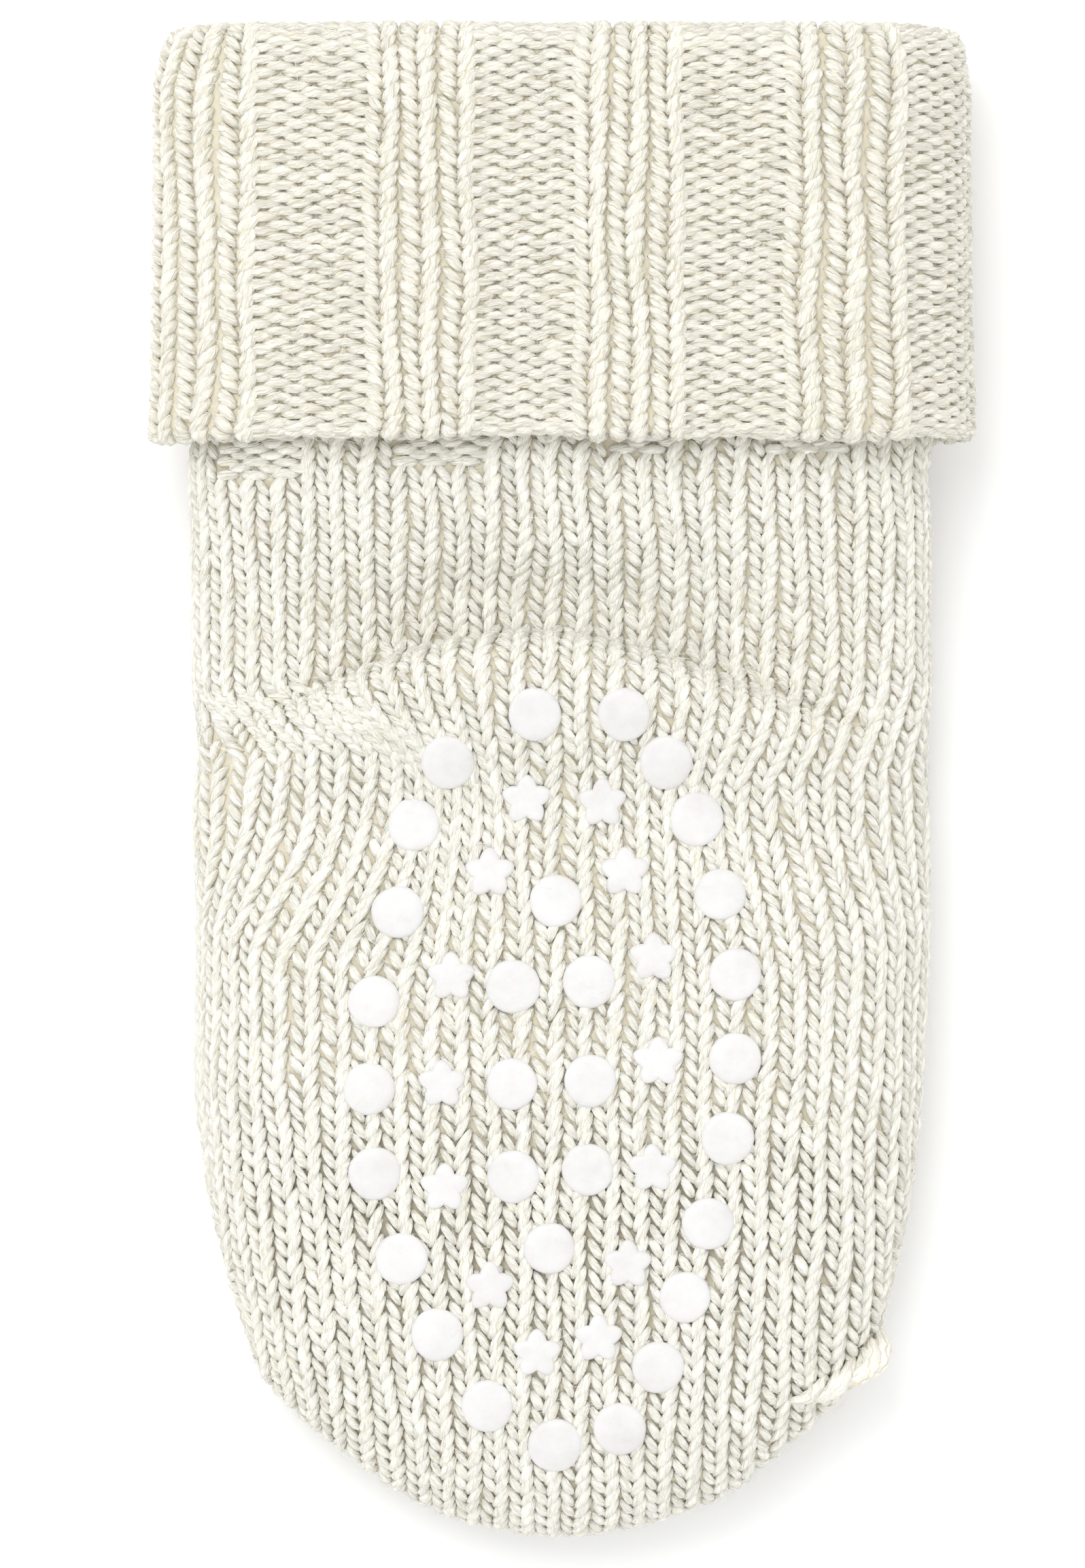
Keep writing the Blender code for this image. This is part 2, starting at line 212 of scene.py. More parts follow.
TIP = -LENGTH / 2
TOE_END = TIP + TOE_LENGTH
HEEL = TIP + HEEL_AT
COLLAR = LENGTH / 2
HEM = COLLAR - CUFF_DEPTH
FOLD_RADIUS = CUFF_GAP / 2
FOLD_START = COLLAR - WALL - FOLD_RADIUS

# Share of the toe's length from the tip, left and right shares of the foot's half width
TOE_OUTLINE = np.array([
    (0.000, 0.000, 0.000),
    (0.043, 0.306, 0.302),
    (0.104, 0.452, 0.470),
    (0.165, 0.558, 0.561),
    (0.226, 0.655, 0.645),
    (0.287, 0.735, 0.727),
    (0.348, 0.806, 0.800),
    (0.470, 0.866, 0.868),
    (0.592, 0.908, 0.905),
    (0.714, 0.947, 0.938),
    (0.835, 0.975, 0.960),
    (1.000, 0.996, 0.980),
])

# The same from the end of the toe to the collar
LEG_OUTLINE = np.array([
    (0.00, 0.996, 0.980),
    (0.16, 0.992, 0.998),
    (0.26, 1.002, 1.000),
    (0.32, 0.990, 0.994),
    (0.38, 1.004, 1.002),
    (0.52, 1.004, 1.000),
    (0.58, 1.012, 0.990),
    (0.63, 0.998, 1.006),
    (1.00, 0.999, 1.005),
])

# Share of the heel's span, foot height, pouch height, overhang
HEEL_PROFILE = np.array([
    (-1.00, 1.00, 0.00, 0.00),
    (-0.66, 1.00, -0.26, 0.00),
    (-0.42, 1.00, 0.42, 0.00),
    (-0.24, 0.97, 0.92, 0.15),
    (-0.12, 0.88, 1.00, 0.55),
    (-0.03, 0.68, 0.82, 0.95),
    (0.04, 0.36, 0.42, 0.80),
    (0.10, 0.10, 0.08, 0.10),
    (0.18, 0.00, 0.00, -0.30),
    (0.34, 0.00, 0.00, 0.00),
])
print("sock from", 1000 * TIP, "to", 1000 * COLLAR, "mm, hem at", round(1000 * HEM, 1))


# %% Curves through charted values
def smooth_through(stations, values, at):
    """A cubic through the charted values whose slopes are harmonic means of the two beside
    them, so that it never swings past a value."""
    step = np.diff(stations)
    slope = np.diff(values) / step
    tangent = np.zeros(len(stations))
    same = slope[1:] * slope[:-1] > 0
    mean = 2 * slope[1:] * slope[:-1] / np.where(same, slope[1:] + slope[:-1], 1.0)
    tangent[1:-1] = np.where(same, mean, 0.0)
    tangent[0] = slope[0]
    tangent[-1] = slope[-1]
    at = np.clip(at, stations[0], stations[-1])
    spot = np.clip(np.searchsorted(stations, at, side="right") - 1, 0, len(step) - 1)
    width = step[spot]
    t = (at - stations[spot]) / width
    start = (1 + 2 * t) * (1 - t) ** 2 * values[spot] + t * (1 - t) ** 2 * width * tangent[spot]
    end = t * t * (3 - 2 * t) * values[spot + 1] - t * t * (1 - t) * width * tangent[spot + 1]
    return start + end


def ease(value):
    """Zero to one with a soft start and end: 3 t^2 - 2 t^3."""
    t = np.clip(value, 0.0, 1.0)
    return t * t * (3 - 2 * t)


# %% The sock's outline
def toe_angle(share):
    """Turns a share of the toe's length into a quarter turn, so that the tip comes out round."""
    return np.arccos(1 - np.clip(share, 0.0, 1.0))


def outline(v):
    """x of the left and right side folds at a station: charted shares of the half width."""
    toe = toe_angle((v - TIP) / TOE_LENGTH)
    rows = toe_angle(TOE_OUTLINE[:, 0])
    along = (v - TOE_END) / (COLLAR - TOE_END)
    tip = [smooth_through(rows, TOE_OUTLINE[:, n], toe) for n in (1, 2)]
    leg = [smooth_through(LEG_OUTLINE[:, 0], LEG_OUTLINE[:, n], along) for n in (1, 2)]
    left, right = [FOOT_HALF * np.where(v < TOE_END, tip[n], leg[n]) for n in (0, 1)]
    return -left, right


def outline_path():
    """The side folds as one line: up the left from the toe tip, and up the right."""
    turn = np.linspace(0, np.pi / 2, 60)
    v = np.concatenate([TIP + TOE_LENGTH * (1 - np.cos(turn)), np.linspace(TOE_END, COLLAR, 60)[1:]])
    left, right = outline(v)
    past = COLLAR + EDGE_ROLL
    x = np.concatenate([[left[-1]], left[::-1], right[1:], [right[-1]]])
    y = np.concatenate([[past], v[::-1], v[1:], [past]])
    return np.stack([x, y], axis=1)


SIDE_FOLDS = outline_path()


def edge_distance(x, y):
    """How far inside the side folds a point lies from above: the least distance to any piece
    of their line, or the sideways one where that is less."""
    start = SIDE_FOLDS[:-1]
    run = SIDE_FOLDS[1:] - start
    point = np.stack([x.ravel(), y.ravel()], axis=1)[:, None, :] - start[None]
    share = (point * run).sum(2) / (run * run).sum(1)
    gap = point - np.clip(share, 0, 1)[:, :, None] * run
    nearest = np.sqrt((gap * gap).sum(2).min(1)).reshape(x.shape)
    left, right = outline(y)
    sideways = np.maximum(np.minimum(x - left, right - x), 0.0)
    return np.minimum(nearest, sideways)


# %% The knit's outer face
def heel_profile(v, number):
    """A column of the heel's chart at a station."""
    return smooth_through(HEEL_PROFILE[:, 0], HEEL_PROFILE[:, number], (v - HEEL) / HEEL_SPAN)


def rounding(distance, roll):
    """Height share of a face that rolls up from the side fold: sqrt(1 - (1 - t)^2.3)."""
    t = np.clip(distance / roll, 0.0, 1.0)
    return np.sqrt(1 - (1 - t) ** 2.3)


def underside(v):
    """Height of the flat underside: the toe curls up, and the leg lies on its own cuff."""
    toe = TOE_LIFT * (1 - ease((v - TIP - 0.25 * TOE_LENGTH) / (0.6 * TOE_LENGTH)))
    under_cuff = WALL + CUFF_GAP + RIB_RISE + HEM_FLARE
    cuff = under_cuff * ease((v - HEEL - 0.5 * HEEL_SPAN) / (HEM - HEEL - 0.5 * HEEL_SPAN))
    return toe + cuff


def skin_at(x, v, upper):
    """A point on the knit's outer face over plan x at a station, on the sole or under it.

    The height is that of the underside plus the slack thickness, which swells at the heel's
    pouch and rolls down to the side folds. The pouch also bows the station lines forward."""
    share = np.clip(np.abs(x - POUCH_SHIFT * (1 - (x / FOOT_HALF) ** 2)) / FOOT_HALF, 0, 1)
    crown = np.where(upper, (1 - share**2) ** 1.8, 0.0)
    broad = (1 - share**4) ** 1.5
    near = (v - HEEL) / HEEL_SPAN
    window = ease((near + 1.0) / 0.9) * (1 - ease((near - 0.1) / 1.5))
    lean = POUCH_LEAN * heel_profile(v, 3) * crown
    y = v + POUCH_BOW * crown * window + lean
    low = underside(v)
    foot = heel_profile(v, 1)
    broad = 1 + (broad - 1) * ease((near + 1.5) / 1.0)
    thick = LEG_THICK + (FOOT_THICK - LEG_THICK) * foot * broad
    toe = ease((v - TIP) / (1.1 * TOE_LENGTH))
    thick = TOE_THICK + (thick - TOE_THICK) * toe
    pouch = POUCH_RISE * heel_profile(v, 2) * np.where(upper, (1 - share**2.5) ** 1.2, 0.0)
    fold_height = low + 0.44 * (LEG_THICK + (TOE_THICK - LEG_THICK) * (1 - toe))
    distance = edge_distance(x, y)
    top = fold_height + (low + thick + pouch - fold_height) * rounding(distance, EDGE_ROLL)
    bottom = fold_height - (fold_height - low) * rounding(distance, UNDER_ROLL)
    return np.stack([x, y, np.where(upper, top, bottom)], axis=-1)


def skin(around, v):
    """The outer face from 0 at the right side fold over the sole to 1 at the left fold, and
    on under the instep to 2: x = middle + half width * cos(pi * around)."""
    left, right = outline(v)
    x = (left + right) / 2 + (right - left) / 2 * np.cos(np.pi * around)
    return skin_at(x, v + 0 * x, np.mod(around, 2.0) < 1)


print("top of the foot in mm:", round(1000 * skin(np.array([0.5]), np.array([-0.02]))[0, 2], 2))

# %% [markdown]
# ## A chart for the knitting
#
# A knit is a grid of loops. The columns are called wales and the rows courses. For each part of
# the sock a chart is worked out once: the place and the outward direction of the fabric at
# quarter wales and half courses. A stitch is then drawn in plain knitting coordinates, and the
# chart bends it over the sock. Wales are spaced evenly by length over the fabric, and courses
# by length along each wale, so that stitches keep their size over the curved sides, the
# heel's pouch and around the toe.

# %% Gauge of the knit
FOOT_WALES = 29  # on one face of the flattened foot
LEG_WALES = 27
CUFF_WALES = 48  # all round the cuff
RIB_WALES = 6  # three knit wales and three purl wales
FOOT_COURSE = 1.36 * MM
LEG_COURSE = 1.15 * MM
CUFF_COURSE = 1.17 * MM
WALE_STEP = 0.25
COURSE_STEP = 0.5
SHOULDER = TOE_END - 3.0 * MM  # wales run straight on from here into the toe
SEAM = TIP + SEAM_AT
TOE_LEAN = (0.12, 0.05)  # how far the left and right wales follow the toe's outline inwards
PUCKER = (7.5 * MM, 3.4 * MM)  # sideways pull of the heel's corners, left and right
PUCKER_LINE = (1.95 * MM, -4.8 / 21)  # station of its line at the side fold, and its slope
PUCKER_FADE = (14 * MM, 7 * MM)  # how far it reaches below and above its line
END_MARGIN = 0.2  # courses left free at the ends of a wale
FOLD_MARGIN = 0.2 * MM  # strip beside the side fold where no loop starts


# %% Wales across a station
def row_lengths(points):
    """Length run along each row of points from its start."""
    step = np.linalg.norm(np.diff(points, axis=1), axis=2)
    return np.concatenate([np.zeros((len(points), 1)), np.cumsum(step, axis=1)], axis=1)


def pucker_pull(inside, v):
    """Sideways pull at the heel's corner: it is strongest on a line that runs in from the
    side fold, fades below and above that line, and ends 36 mm inside."""
    line = PUCKER_LINE[0] + PUCKER_LINE[1] * inside
    below = 1 + (v - line) / PUCKER_FADE[0]
    above = 1 - (v - line) / PUCKER_FADE[1]
    reach = (1 - ease((inside - 12 * MM) / (24 * MM))) * ease((inside + 5 * MM) / (10 * MM))
    return np.clip(np.minimum(below, above), 0, 1) * reach


def wale_places(v, wales, under, count):
    """The 'around' value of each wale at each station, and how far inside the side folds it
    lies. The fabric's length from fold to fold is shared out evenly among the wales, and the
    heel's corners pull it inwards."""
    fine = np.linspace(1.15, -0.15, 131) + (1.0 if under else 0.0)
    length = row_lengths(skin(fine[None, :] + 0 * v[:, None], v[:, None]))
    start = length[:, 15:16]
    whole = length[:, 115:116] - start
    along = whole / 2 + wales[None, :] * whole / count[:, None]
    if not under:
        left = PUCKER[0] * pucker_pull(along, v[:, None])
        right = PUCKER[1] * pucker_pull(whole - along, v[:, None])
        along = along + left - right
    inside = np.minimum(along, whole - along)
    spots = [np.interp(a + s, l, fine) for a, s, l in zip(along, start[:, 0], length)]
    return np.stack(spots), inside


# %% The chart itself
def unit(vectors):
    """The same directions with a length of one."""
    return vectors / (np.linalg.norm(vectors, axis=-1, keepdims=True) + 1e-12)


def outward(points):
    """Direction square to the fabric: the run across wales crossed with that along them."""
    return unit(np.cross(np.gradient(points, axis=0), np.gradient(points, axis=1)))


def chart(wales, paths, course, zero, inside=None):
    """A knitting chart from one dense path per wale. Courses are counted by length along each
    path from its point number zero. Returns places and directions at even half courses, and
    how far inside the side folds each lies."""
    length = row_lengths(paths)
    count = (length - length[:, zero:zero + 1]) / course
    rows = np.arange(np.floor(count.min()), np.ceil(count.max()) + COURSE_STEP, COURSE_STEP)
    out = outward(paths)
    inside = np.ones(paths.shape[:2]) if inside is None else inside
    both = np.concatenate([paths, out, inside[..., None]], axis=2)
    even = [[np.interp(rows, n, b[:, k]) for k in range(7)] for n, b in zip(count, both)]
    even = np.array(even).transpose(0, 2, 1)
    ends = np.stack([count[:, 0], count[:, -1]], axis=1)
    return {"wales": wales, "rows": rows, "place": even[..., :3], "out": even[..., 3:6],
            "inside": even[..., 6], "ends": ends}


def on_fabric(fabric, wale, row):
    """Place and outward direction at any wale and course, blended from the four charted
    points around it."""
    grid = fabric["place"].shape
    i = np.clip((wale - fabric["wales"][0]) / WALE_STEP, 0, grid[0] - 1.001)
    j = np.clip((row - fabric["rows"][0]) / COURSE_STEP, 0, grid[1] - 1.001)
    a, b = i.astype(int), j.astype(int)
    s, t = (i - a)[..., None], (j - b)[..., None]
    found = []
    for sheet in (fabric["place"], fabric["out"]):
        near = sheet[a, b] * (1 - t) + sheet[a, b + 1] * t
        far = sheet[a + 1, b] * (1 - t) + sheet[a + 1, b + 1] * t
        found.append(near * (1 - s) + far * s)
    return found[0], unit(found[1])


# %% Charts of the sole and of the leg's upper face
def toe_x(x, v):
    """x of a wale at a station of the toe: its x at the shoulder, less a share that grows
    softly towards the tip."""
    return x * (1 - np.where(x < 0, *TOE_LEAN) * ease((SHOULDER - v) / (SHOULDER - TIP)))


def toe_paths(x):
    """Paths of the wales from the seam under the toes, around the toe's edge and up to the
    shoulder. The edge is where a wale's x meets the outline, found by halving the interval."""
    low = np.full(x.shape, TIP)
    high = np.full(x.shape, SHOULDER)
    for _ in range(40):
        v = (low + high) / 2
        left, right = outline(v)
        inside = np.where(x < 0, toe_x(x, v) > left, toe_x(x, v) < right)
        high = np.where(inside, v, high)
        low = np.where(inside, low, v)
    q = np.linspace(0, 1, 40) ** 2
    over = high[:, None] + (SHOULDER - high)[:, None] * q
    under = high[:, None] + np.maximum(SEAM - high, 0)[:, None] * q
    top = skin_at(toe_x(x[:, None], over), over, np.full(over.shape, True))
    below = skin_at(toe_x(x[:, None], under), under, np.full(under.shape, False))
    return np.concatenate([below[:, :0:-1], top[:, :-1]], axis=1)


def wales_beyond(count, extra):
    """Quarter wales over a face with so many wales and some more past each side fold."""
    return np.arange(-count / 2 - extra, count / 2 + extra + WALE_STEP, WALE_STEP)


def foot_count(v):
    """Number of wales on a face of the foot: it eases from the foot's to the leg's."""
    return FOOT_WALES + (LEG_WALES - FOOT_WALES) * ease((v + 16 * MM) / (HEEL + 16 * MM))


def face_chart(wales, v, under, count, course, zero):
    """The chart of one face of the flattened tube over the stations v."""
    around, inside = wale_places(v, wales, under, count)
    return chart(wales, skin(around, v[:, None]).transpose(1, 0, 2), course, zero, inside.T)


half = FOOT_WALES / 2
sole_wales = wales_beyond(FOOT_WALES, 3)
v = np.linspace(SHOULDER, HEEL + 0.2 * HEEL_SPAN, 160)
around, inside = wale_places(v, sole_wales, False, foot_count(v))
foot = skin(around, v[:, None]).transpose(1, 0, 2)
start_x = np.where(np.abs(sole_wales) > half, np.sign(sole_wales) * 1.0, foot[:, 0, 0])
start_x = np.clip(start_x, *[side[0] for side in outline(np.array([SHOULDER]))])
toes = toe_paths(start_x)
toe_inside = np.where(np.abs(sole_wales) < half, 1.0, -1.0)[:, None] + np.zeros((1, toes.shape[1]))
inside = np.concatenate([toe_inside, inside.T], axis=1)
sole_paths = np.concatenate([toes, foot], axis=1)
sole_chart = chart(sole_wales, sole_paths, FOOT_COURSE, toes.shape[1], inside)
print("sole chart:", sole_chart["place"].shape, "courses", sole_chart["rows"][[0, -1]])

leg_wales = wales_beyond(LEG_WALES, 1)
v = np.linspace(HEM + 5 * MM, HEEL + 0.12 * HEEL_SPAN, 110)[::-1]
leg_count = np.full(v.shape, float(LEG_WALES))
leg_chart = face_chart(leg_wales, v, False, leg_count, LEG_COURSE, len(v) - 1)
print("leg chart:", leg_chart["place"].shape, "courses", leg_chart["rows"][[0, -1]])

# %% Charts of the instep and of the shin, which lie underneath
v = np.linspace(SEAM, HEEL + 1.0 * MM, 120)  # the last course reaches the shin's first
instep_chart = face_chart(wales_beyond(FOOT_WALES, 1), v, True, foot_count(v), FOOT_COURSE, 0)
v = np.linspace(HEEL, HEM + 4 * MM, 70)
leg_count = np.full(v.shape, float(LEG_WALES))
shin_chart = face_chart(leg_wales, v, True, leg_count, LEG_COURSE, 0)
print("instep and shin charts:", instep_chart["place"].shape, shin_chart["place"].shape)

# %% [markdown]
# ## The chart of the turned-down cuff
#
# The cuff is the end of the same tube, folded outwards over the leg. Its rib has three knit
# wales that stand out and three purl wales that sink back, eight times around. The chart
# starts inside the hem, rolls around its edge, climbs the outer face to the collar, turns over
# the fold there and runs a little way down into the mouth.


# %% Cuff chart
KNIT_SPREAD = 1.13  # width of a knit wale of the rib; a purl wale is narrower by as much
KNIT_FROM = 0.375  # the wale number where the first knit panel starts


def rib(wales):
    """One on the knit wales of the rib and zero on the purl wales, with short slopes."""
    half = 1.5 * KNIT_SPREAD
    place = np.mod(wales - KNIT_FROM + 1.5, RIB_WALES) - RIB_WALES / 2
    return ease((half + 0.3 - np.abs(place)) / 0.6)


def panel_place(wales):
    """Where on the chart a stitch of the rib lies: knit panels are spread and purl panels
    are squeezed, each about its own middle."""
    extra = 1.5 * (KNIT_SPREAD - 1)
    place = np.mod(wales - KNIT_FROM, RIB_WALES) + KNIT_FROM
    edges = KNIT_FROM + np.array([0, 3, 6])
    return wales - place + np.interp(place, edges, edges + extra * np.array([-1, 1, -1]))


def cuff_paths(wales):
    """Paths up the cuff. Each point is a point of the leg's ring at its station, pushed
    square to the ring by an offset. The two folds are half circles of offset and station."""
    turn = np.linspace(0, np.pi, 14)
    edge = HEM + WALL / 2
    up = np.linspace(edge, FOLD_START, 90)[1:-1]
    share = (FOLD_START - up) / (FOLD_START - HEM)
    ribbed = RIB_RISE * rib(wales)[:, None]
    inner = CUFF_GAP + ribbed + HEM_FLARE
    outer = WALL + CUFF_GAP + ribbed * np.minimum(share / 0.08, 1.0) + HEM_FLARE * share**3
    fold = WALL + FOLD_RADIUS
    offset = np.concatenate([
        inner + 0 * turn[:4],
        inner + WALL / 2 * (1 - np.cos(turn)),
        outer,
        FOLD_RADIUS + fold * np.cos(turn) + 0 * inner,
        -WALL + 0 * turn[:8] + 0 * inner,
    ], axis=1)
    station = np.concatenate([
        np.linspace(edge + 2 * MM, edge, 5)[:-1],
        edge - WALL / 2 * np.sin(turn),
        up,
        FOLD_START + fold * np.sin(turn),
        np.linspace(FOLD_START, FOLD_START - 9 * MM, 9)[1:],
    ])
    v = np.minimum(station, FOLD_START)
    top = wale_places(v, np.linspace(-12, 12, 97), False, np.full(v.shape, 24.0))[0]
    low = wale_places(v, np.linspace(-12, 12, 97), True, np.full(v.shape, 24.0))[0]
    ring = skin(np.concatenate([top, low[:, 1:]], axis=1), v[:, None])
    run = np.roll(ring[:, :-1], -1, axis=1) - np.roll(ring[:, :-1], 1, axis=1)
    run = np.concatenate([run, run[:, :1]], axis=1)
    push = unit(np.stack([-run[..., 2], np.zeros(run.shape[:2]), run[..., 0]], axis=-1))
    made = ring + push * offset.T[..., None]
    made[..., 1] += (station - v)[:, None]
    return made.transpose(1, 0, 2)


cuff_wales = np.arange(0, CUFF_WALES + WALE_STEP, WALE_STEP)
cuff_chart = chart(cuff_wales, cuff_paths(cuff_wales), CUFF_COURSE, 0)
round_once = 2 * np.pi * cuff_wales / CUFF_WALES
droop = 0.30 * np.sin(8 * round_once - 0.2) + 0.22 * np.sin(3 * round_once + 1.0)
droop = (droop + 0.12 * np.sin(19 * round_once)) * MM  # the hem hangs a little unevenly
near_hem = np.exp(-np.clip(cuff_chart["rows"], 0, None) / 5.0)
cuff_chart["place"][..., 1] -= droop[:, None] * near_hem
for key in ("place", "out"):
    sheet = cuff_chart[key]  # the chart overlaps itself by one wale, so that stitches can cross its ends
    cuff_chart[key] = np.concatenate([sheet[-5:-1], sheet, sheet[1:5]])
cuff_chart["wales"] = np.arange(-1, CUFF_WALES + 1 + WALE_STEP, WALE_STEP)
print("cuff chart:", cuff_chart["place"].shape, "courses", cuff_chart["rows"][[0, -1]])

# %% [markdown]
# ## One stitch leg
#
# What shows of a loop on the knit side is its two legs, and on the purl side the short arcs
# between them. Each is the same thing seen close: a bit of soft yarn that comes up out of the
# fabric, swells and dips back in. It is made as a closed leaf: a tube of five to eight sides
# whose thickness rises and falls along its length. A few dozen faces are enough, because there
# are thousands of them. All leaves of one part of the sock are worked out in one array.

# %% Leaf form
ALONG = np.array([0.0, 0.10, 0.29, 0.52, 0.75, 0.92, 1.0])
SWELL = np.array([0.0, 0.62, 0.94, 1.0, 0.86, 0.52, 0.0])


def leaf_faces(sides):
    """Quads between the leaf's rings and triangles at its two ends, with a UV for each corner:
    u runs along the leaf and v around it."""
    ring = np.arange(sides)
    after = (ring + 1) % sides
    rings = len(ALONG) - 2
    faces, places = [], []
    for k in range(rings - 1):
        a, b = 1 + k * sides, 1 + (k + 1) * sides
        faces.append(np.stack([a + ring, a + after, b + after, b + ring], axis=1))
        u, w = ALONG[k + 1], ALONG[k + 2]
        flat = [(u, 0), (u, 1), (w, 1), (w, 0)]
        places.append(np.array([[(p, (r + q) / sides) for p, q in flat] for r in ring]))
    last = 1 + (rings - 1) * sides
    ends = [np.stack([after + 1, ring + 1, 0 * ring], axis=1)]
    ends.append(np.stack([last + ring, last + after, 0 * ring + last + sides], axis=1))
    tips = [np.array([[(ALONG[1], (r + 1) / sides), (ALONG[1], r / sides), (0, (r + 0.5) / sides)]
                      for r in ring])]
    tips.append(np.array([[(ALONG[-2], r / sides), (ALONG[-2], (r + 1) / sides),
                           (1, (r + 0.5) / sides)] for r in ring]))
    return np.concatenate(faces), np.concatenate(places), np.concatenate(ends), np.concatenate(tips)


SINK = 0.32 * MM  # loops are set in this far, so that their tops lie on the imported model's face
FLOOR_GAP = 0.02 * MM  # loops that rest on the floor are pressed flat this far above it


def wander(wale, row):
    """Slow sideways drift of the wales, a sum of three sine waves of a few courses' length."""
    return (0.05 * np.sin(0.31 * row + 1.7 * wale) + 0.04 * np.sin(0.17 * row - 0.9 * wale + 1.0)
            + 0.03 * np.sin(0.53 * row + 0.4 * wale + 2.0))


def leaf_points(fabric, leaf, sides):
    """Vertices of many leaves at once. Each leaf runs straight from (w0, s0) to (w1, s1) in
    wales and courses, bowed sideways by a half sine. Its height over the fabric is a straight
    line between its ends plus a half sine, and its cross section is an oval."""
    t = ALONG[None, :]
    hump = np.sin(np.pi * t)

    def bowed(start, end, bow):
        return leaf[start][:, None] * (1 - t) + leaf[end][:, None] * t + leaf[bow][:, None] * hump

    wale = bowed("w0", "w1", "bow")
    row = bowed("s0", "s1", "arc")
    wale = wale + wander(wale, row)
    place, out = on_fabric(fabric, wale, row)
    middle = place + out * (bowed("h0", "h1", "rise") - SINK)[..., None]
    run = unit(np.gradient(middle, axis=1))
    side = unit(np.cross(run, out))
    up = np.cross(side, run)
    turn = -2 * np.pi * np.arange(sides) / sides - np.pi / 2
    wide = leaf["wide"][:, None, None, None] * SWELL[None, 1:-1, None, None]
    deep = leaf["deep"][:, None, None, None] * SWELL[None, 1:-1, None, None]
    ring = (middle[:, 1:-1, None, :] + side[:, 1:-1, None, :] * np.cos(turn)[None, None, :, None] * wide
            + up[:, 1:-1, None, :] * np.sin(turn)[None, None, :, None] * deep)
    ring = ring.reshape(len(ring), -1, 3)
    points = np.concatenate([middle[:, :1], ring, middle[:, -1:]], axis=1)
    points[..., 2] = np.maximum(points[..., 2], FLOOR_GAP)
    return points


def add_mesh(name, points, faces, material, uvs=None):
    """A smooth mesh object of the sock from points, lists of faces and, where the material
    reads them, a UV for each face corner."""
    mesh = bpy.data.meshes.new(name)
    mesh.from_pydata(points, [], faces)
    if uvs is not None:
        layer = mesh.uv_layers.new(name="yarn")
        layer.data.foreach_set("uv", np.asarray(uvs, dtype=np.float32).ravel())
    mesh.shade_smooth()
    mesh.materials.append(material)
    made = stand(name, mesh)
    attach(made, "root")
    return made


def knit_piece(name, parts, sides, material):
    """One object from several (chart, leaves) pairs. A whole number is added to each leaf's u,
    so that no two leaves share the same fibres."""
    quads, quad_uv, tris, tri_uv = leaf_faces(sides)
    points = np.concatenate([leaf_points(fabric, leaf, sides) for fabric, leaf in parts])
    number = len(points)
    first = (np.arange(number) * points.shape[1])[:, None, None]
    shift = np.zeros((number, 1, 1, 2))
    shift[:, 0, 0, 0] = np.arange(number) % 97
    faces = (first + quads).reshape(-1, 4).tolist() + (first + tris).reshape(-1, 3).tolist()
    uvs = np.concatenate([(quad_uv[None] + shift).reshape(-1, 2), (tri_uv[None] + shift).reshape(-1, 2)])
    made = add_mesh(name, points.reshape(-1, 3), faces, material, uvs)
    print(name, "has", number, "leaves and", number * (2 * len(quads) + len(tris)), "triangles")
    return made


# %% [markdown]
# ## Wool yarn
#
# The yarn is undyed wool with some soft acrylic, spun loosely and plied from a few strands. Its
# colour runs from nearly white through cream to a warm olive beige, and the two ends of that are
# painted light and shade: the ramp follows the height of the fibres' bump and darkens the ends
# of each leaf, so the crests get painted highlight and the grooves and the depth between loops
# painted shade. Fibres run along the strand with a slight twist, and they show as fine lighter
# and darker lines. Nothing on it is glossy: wool scatters light, so it gets a high roughness and
# a faint sheen from standing fibres.


# %% Yarn material
PLIES = 4
FIBRE_SCALE = (1.3, 17.0, 1.0)  # grains of noise along a leaf and around it
FIBRE_DEPTH = 0.15 * MM


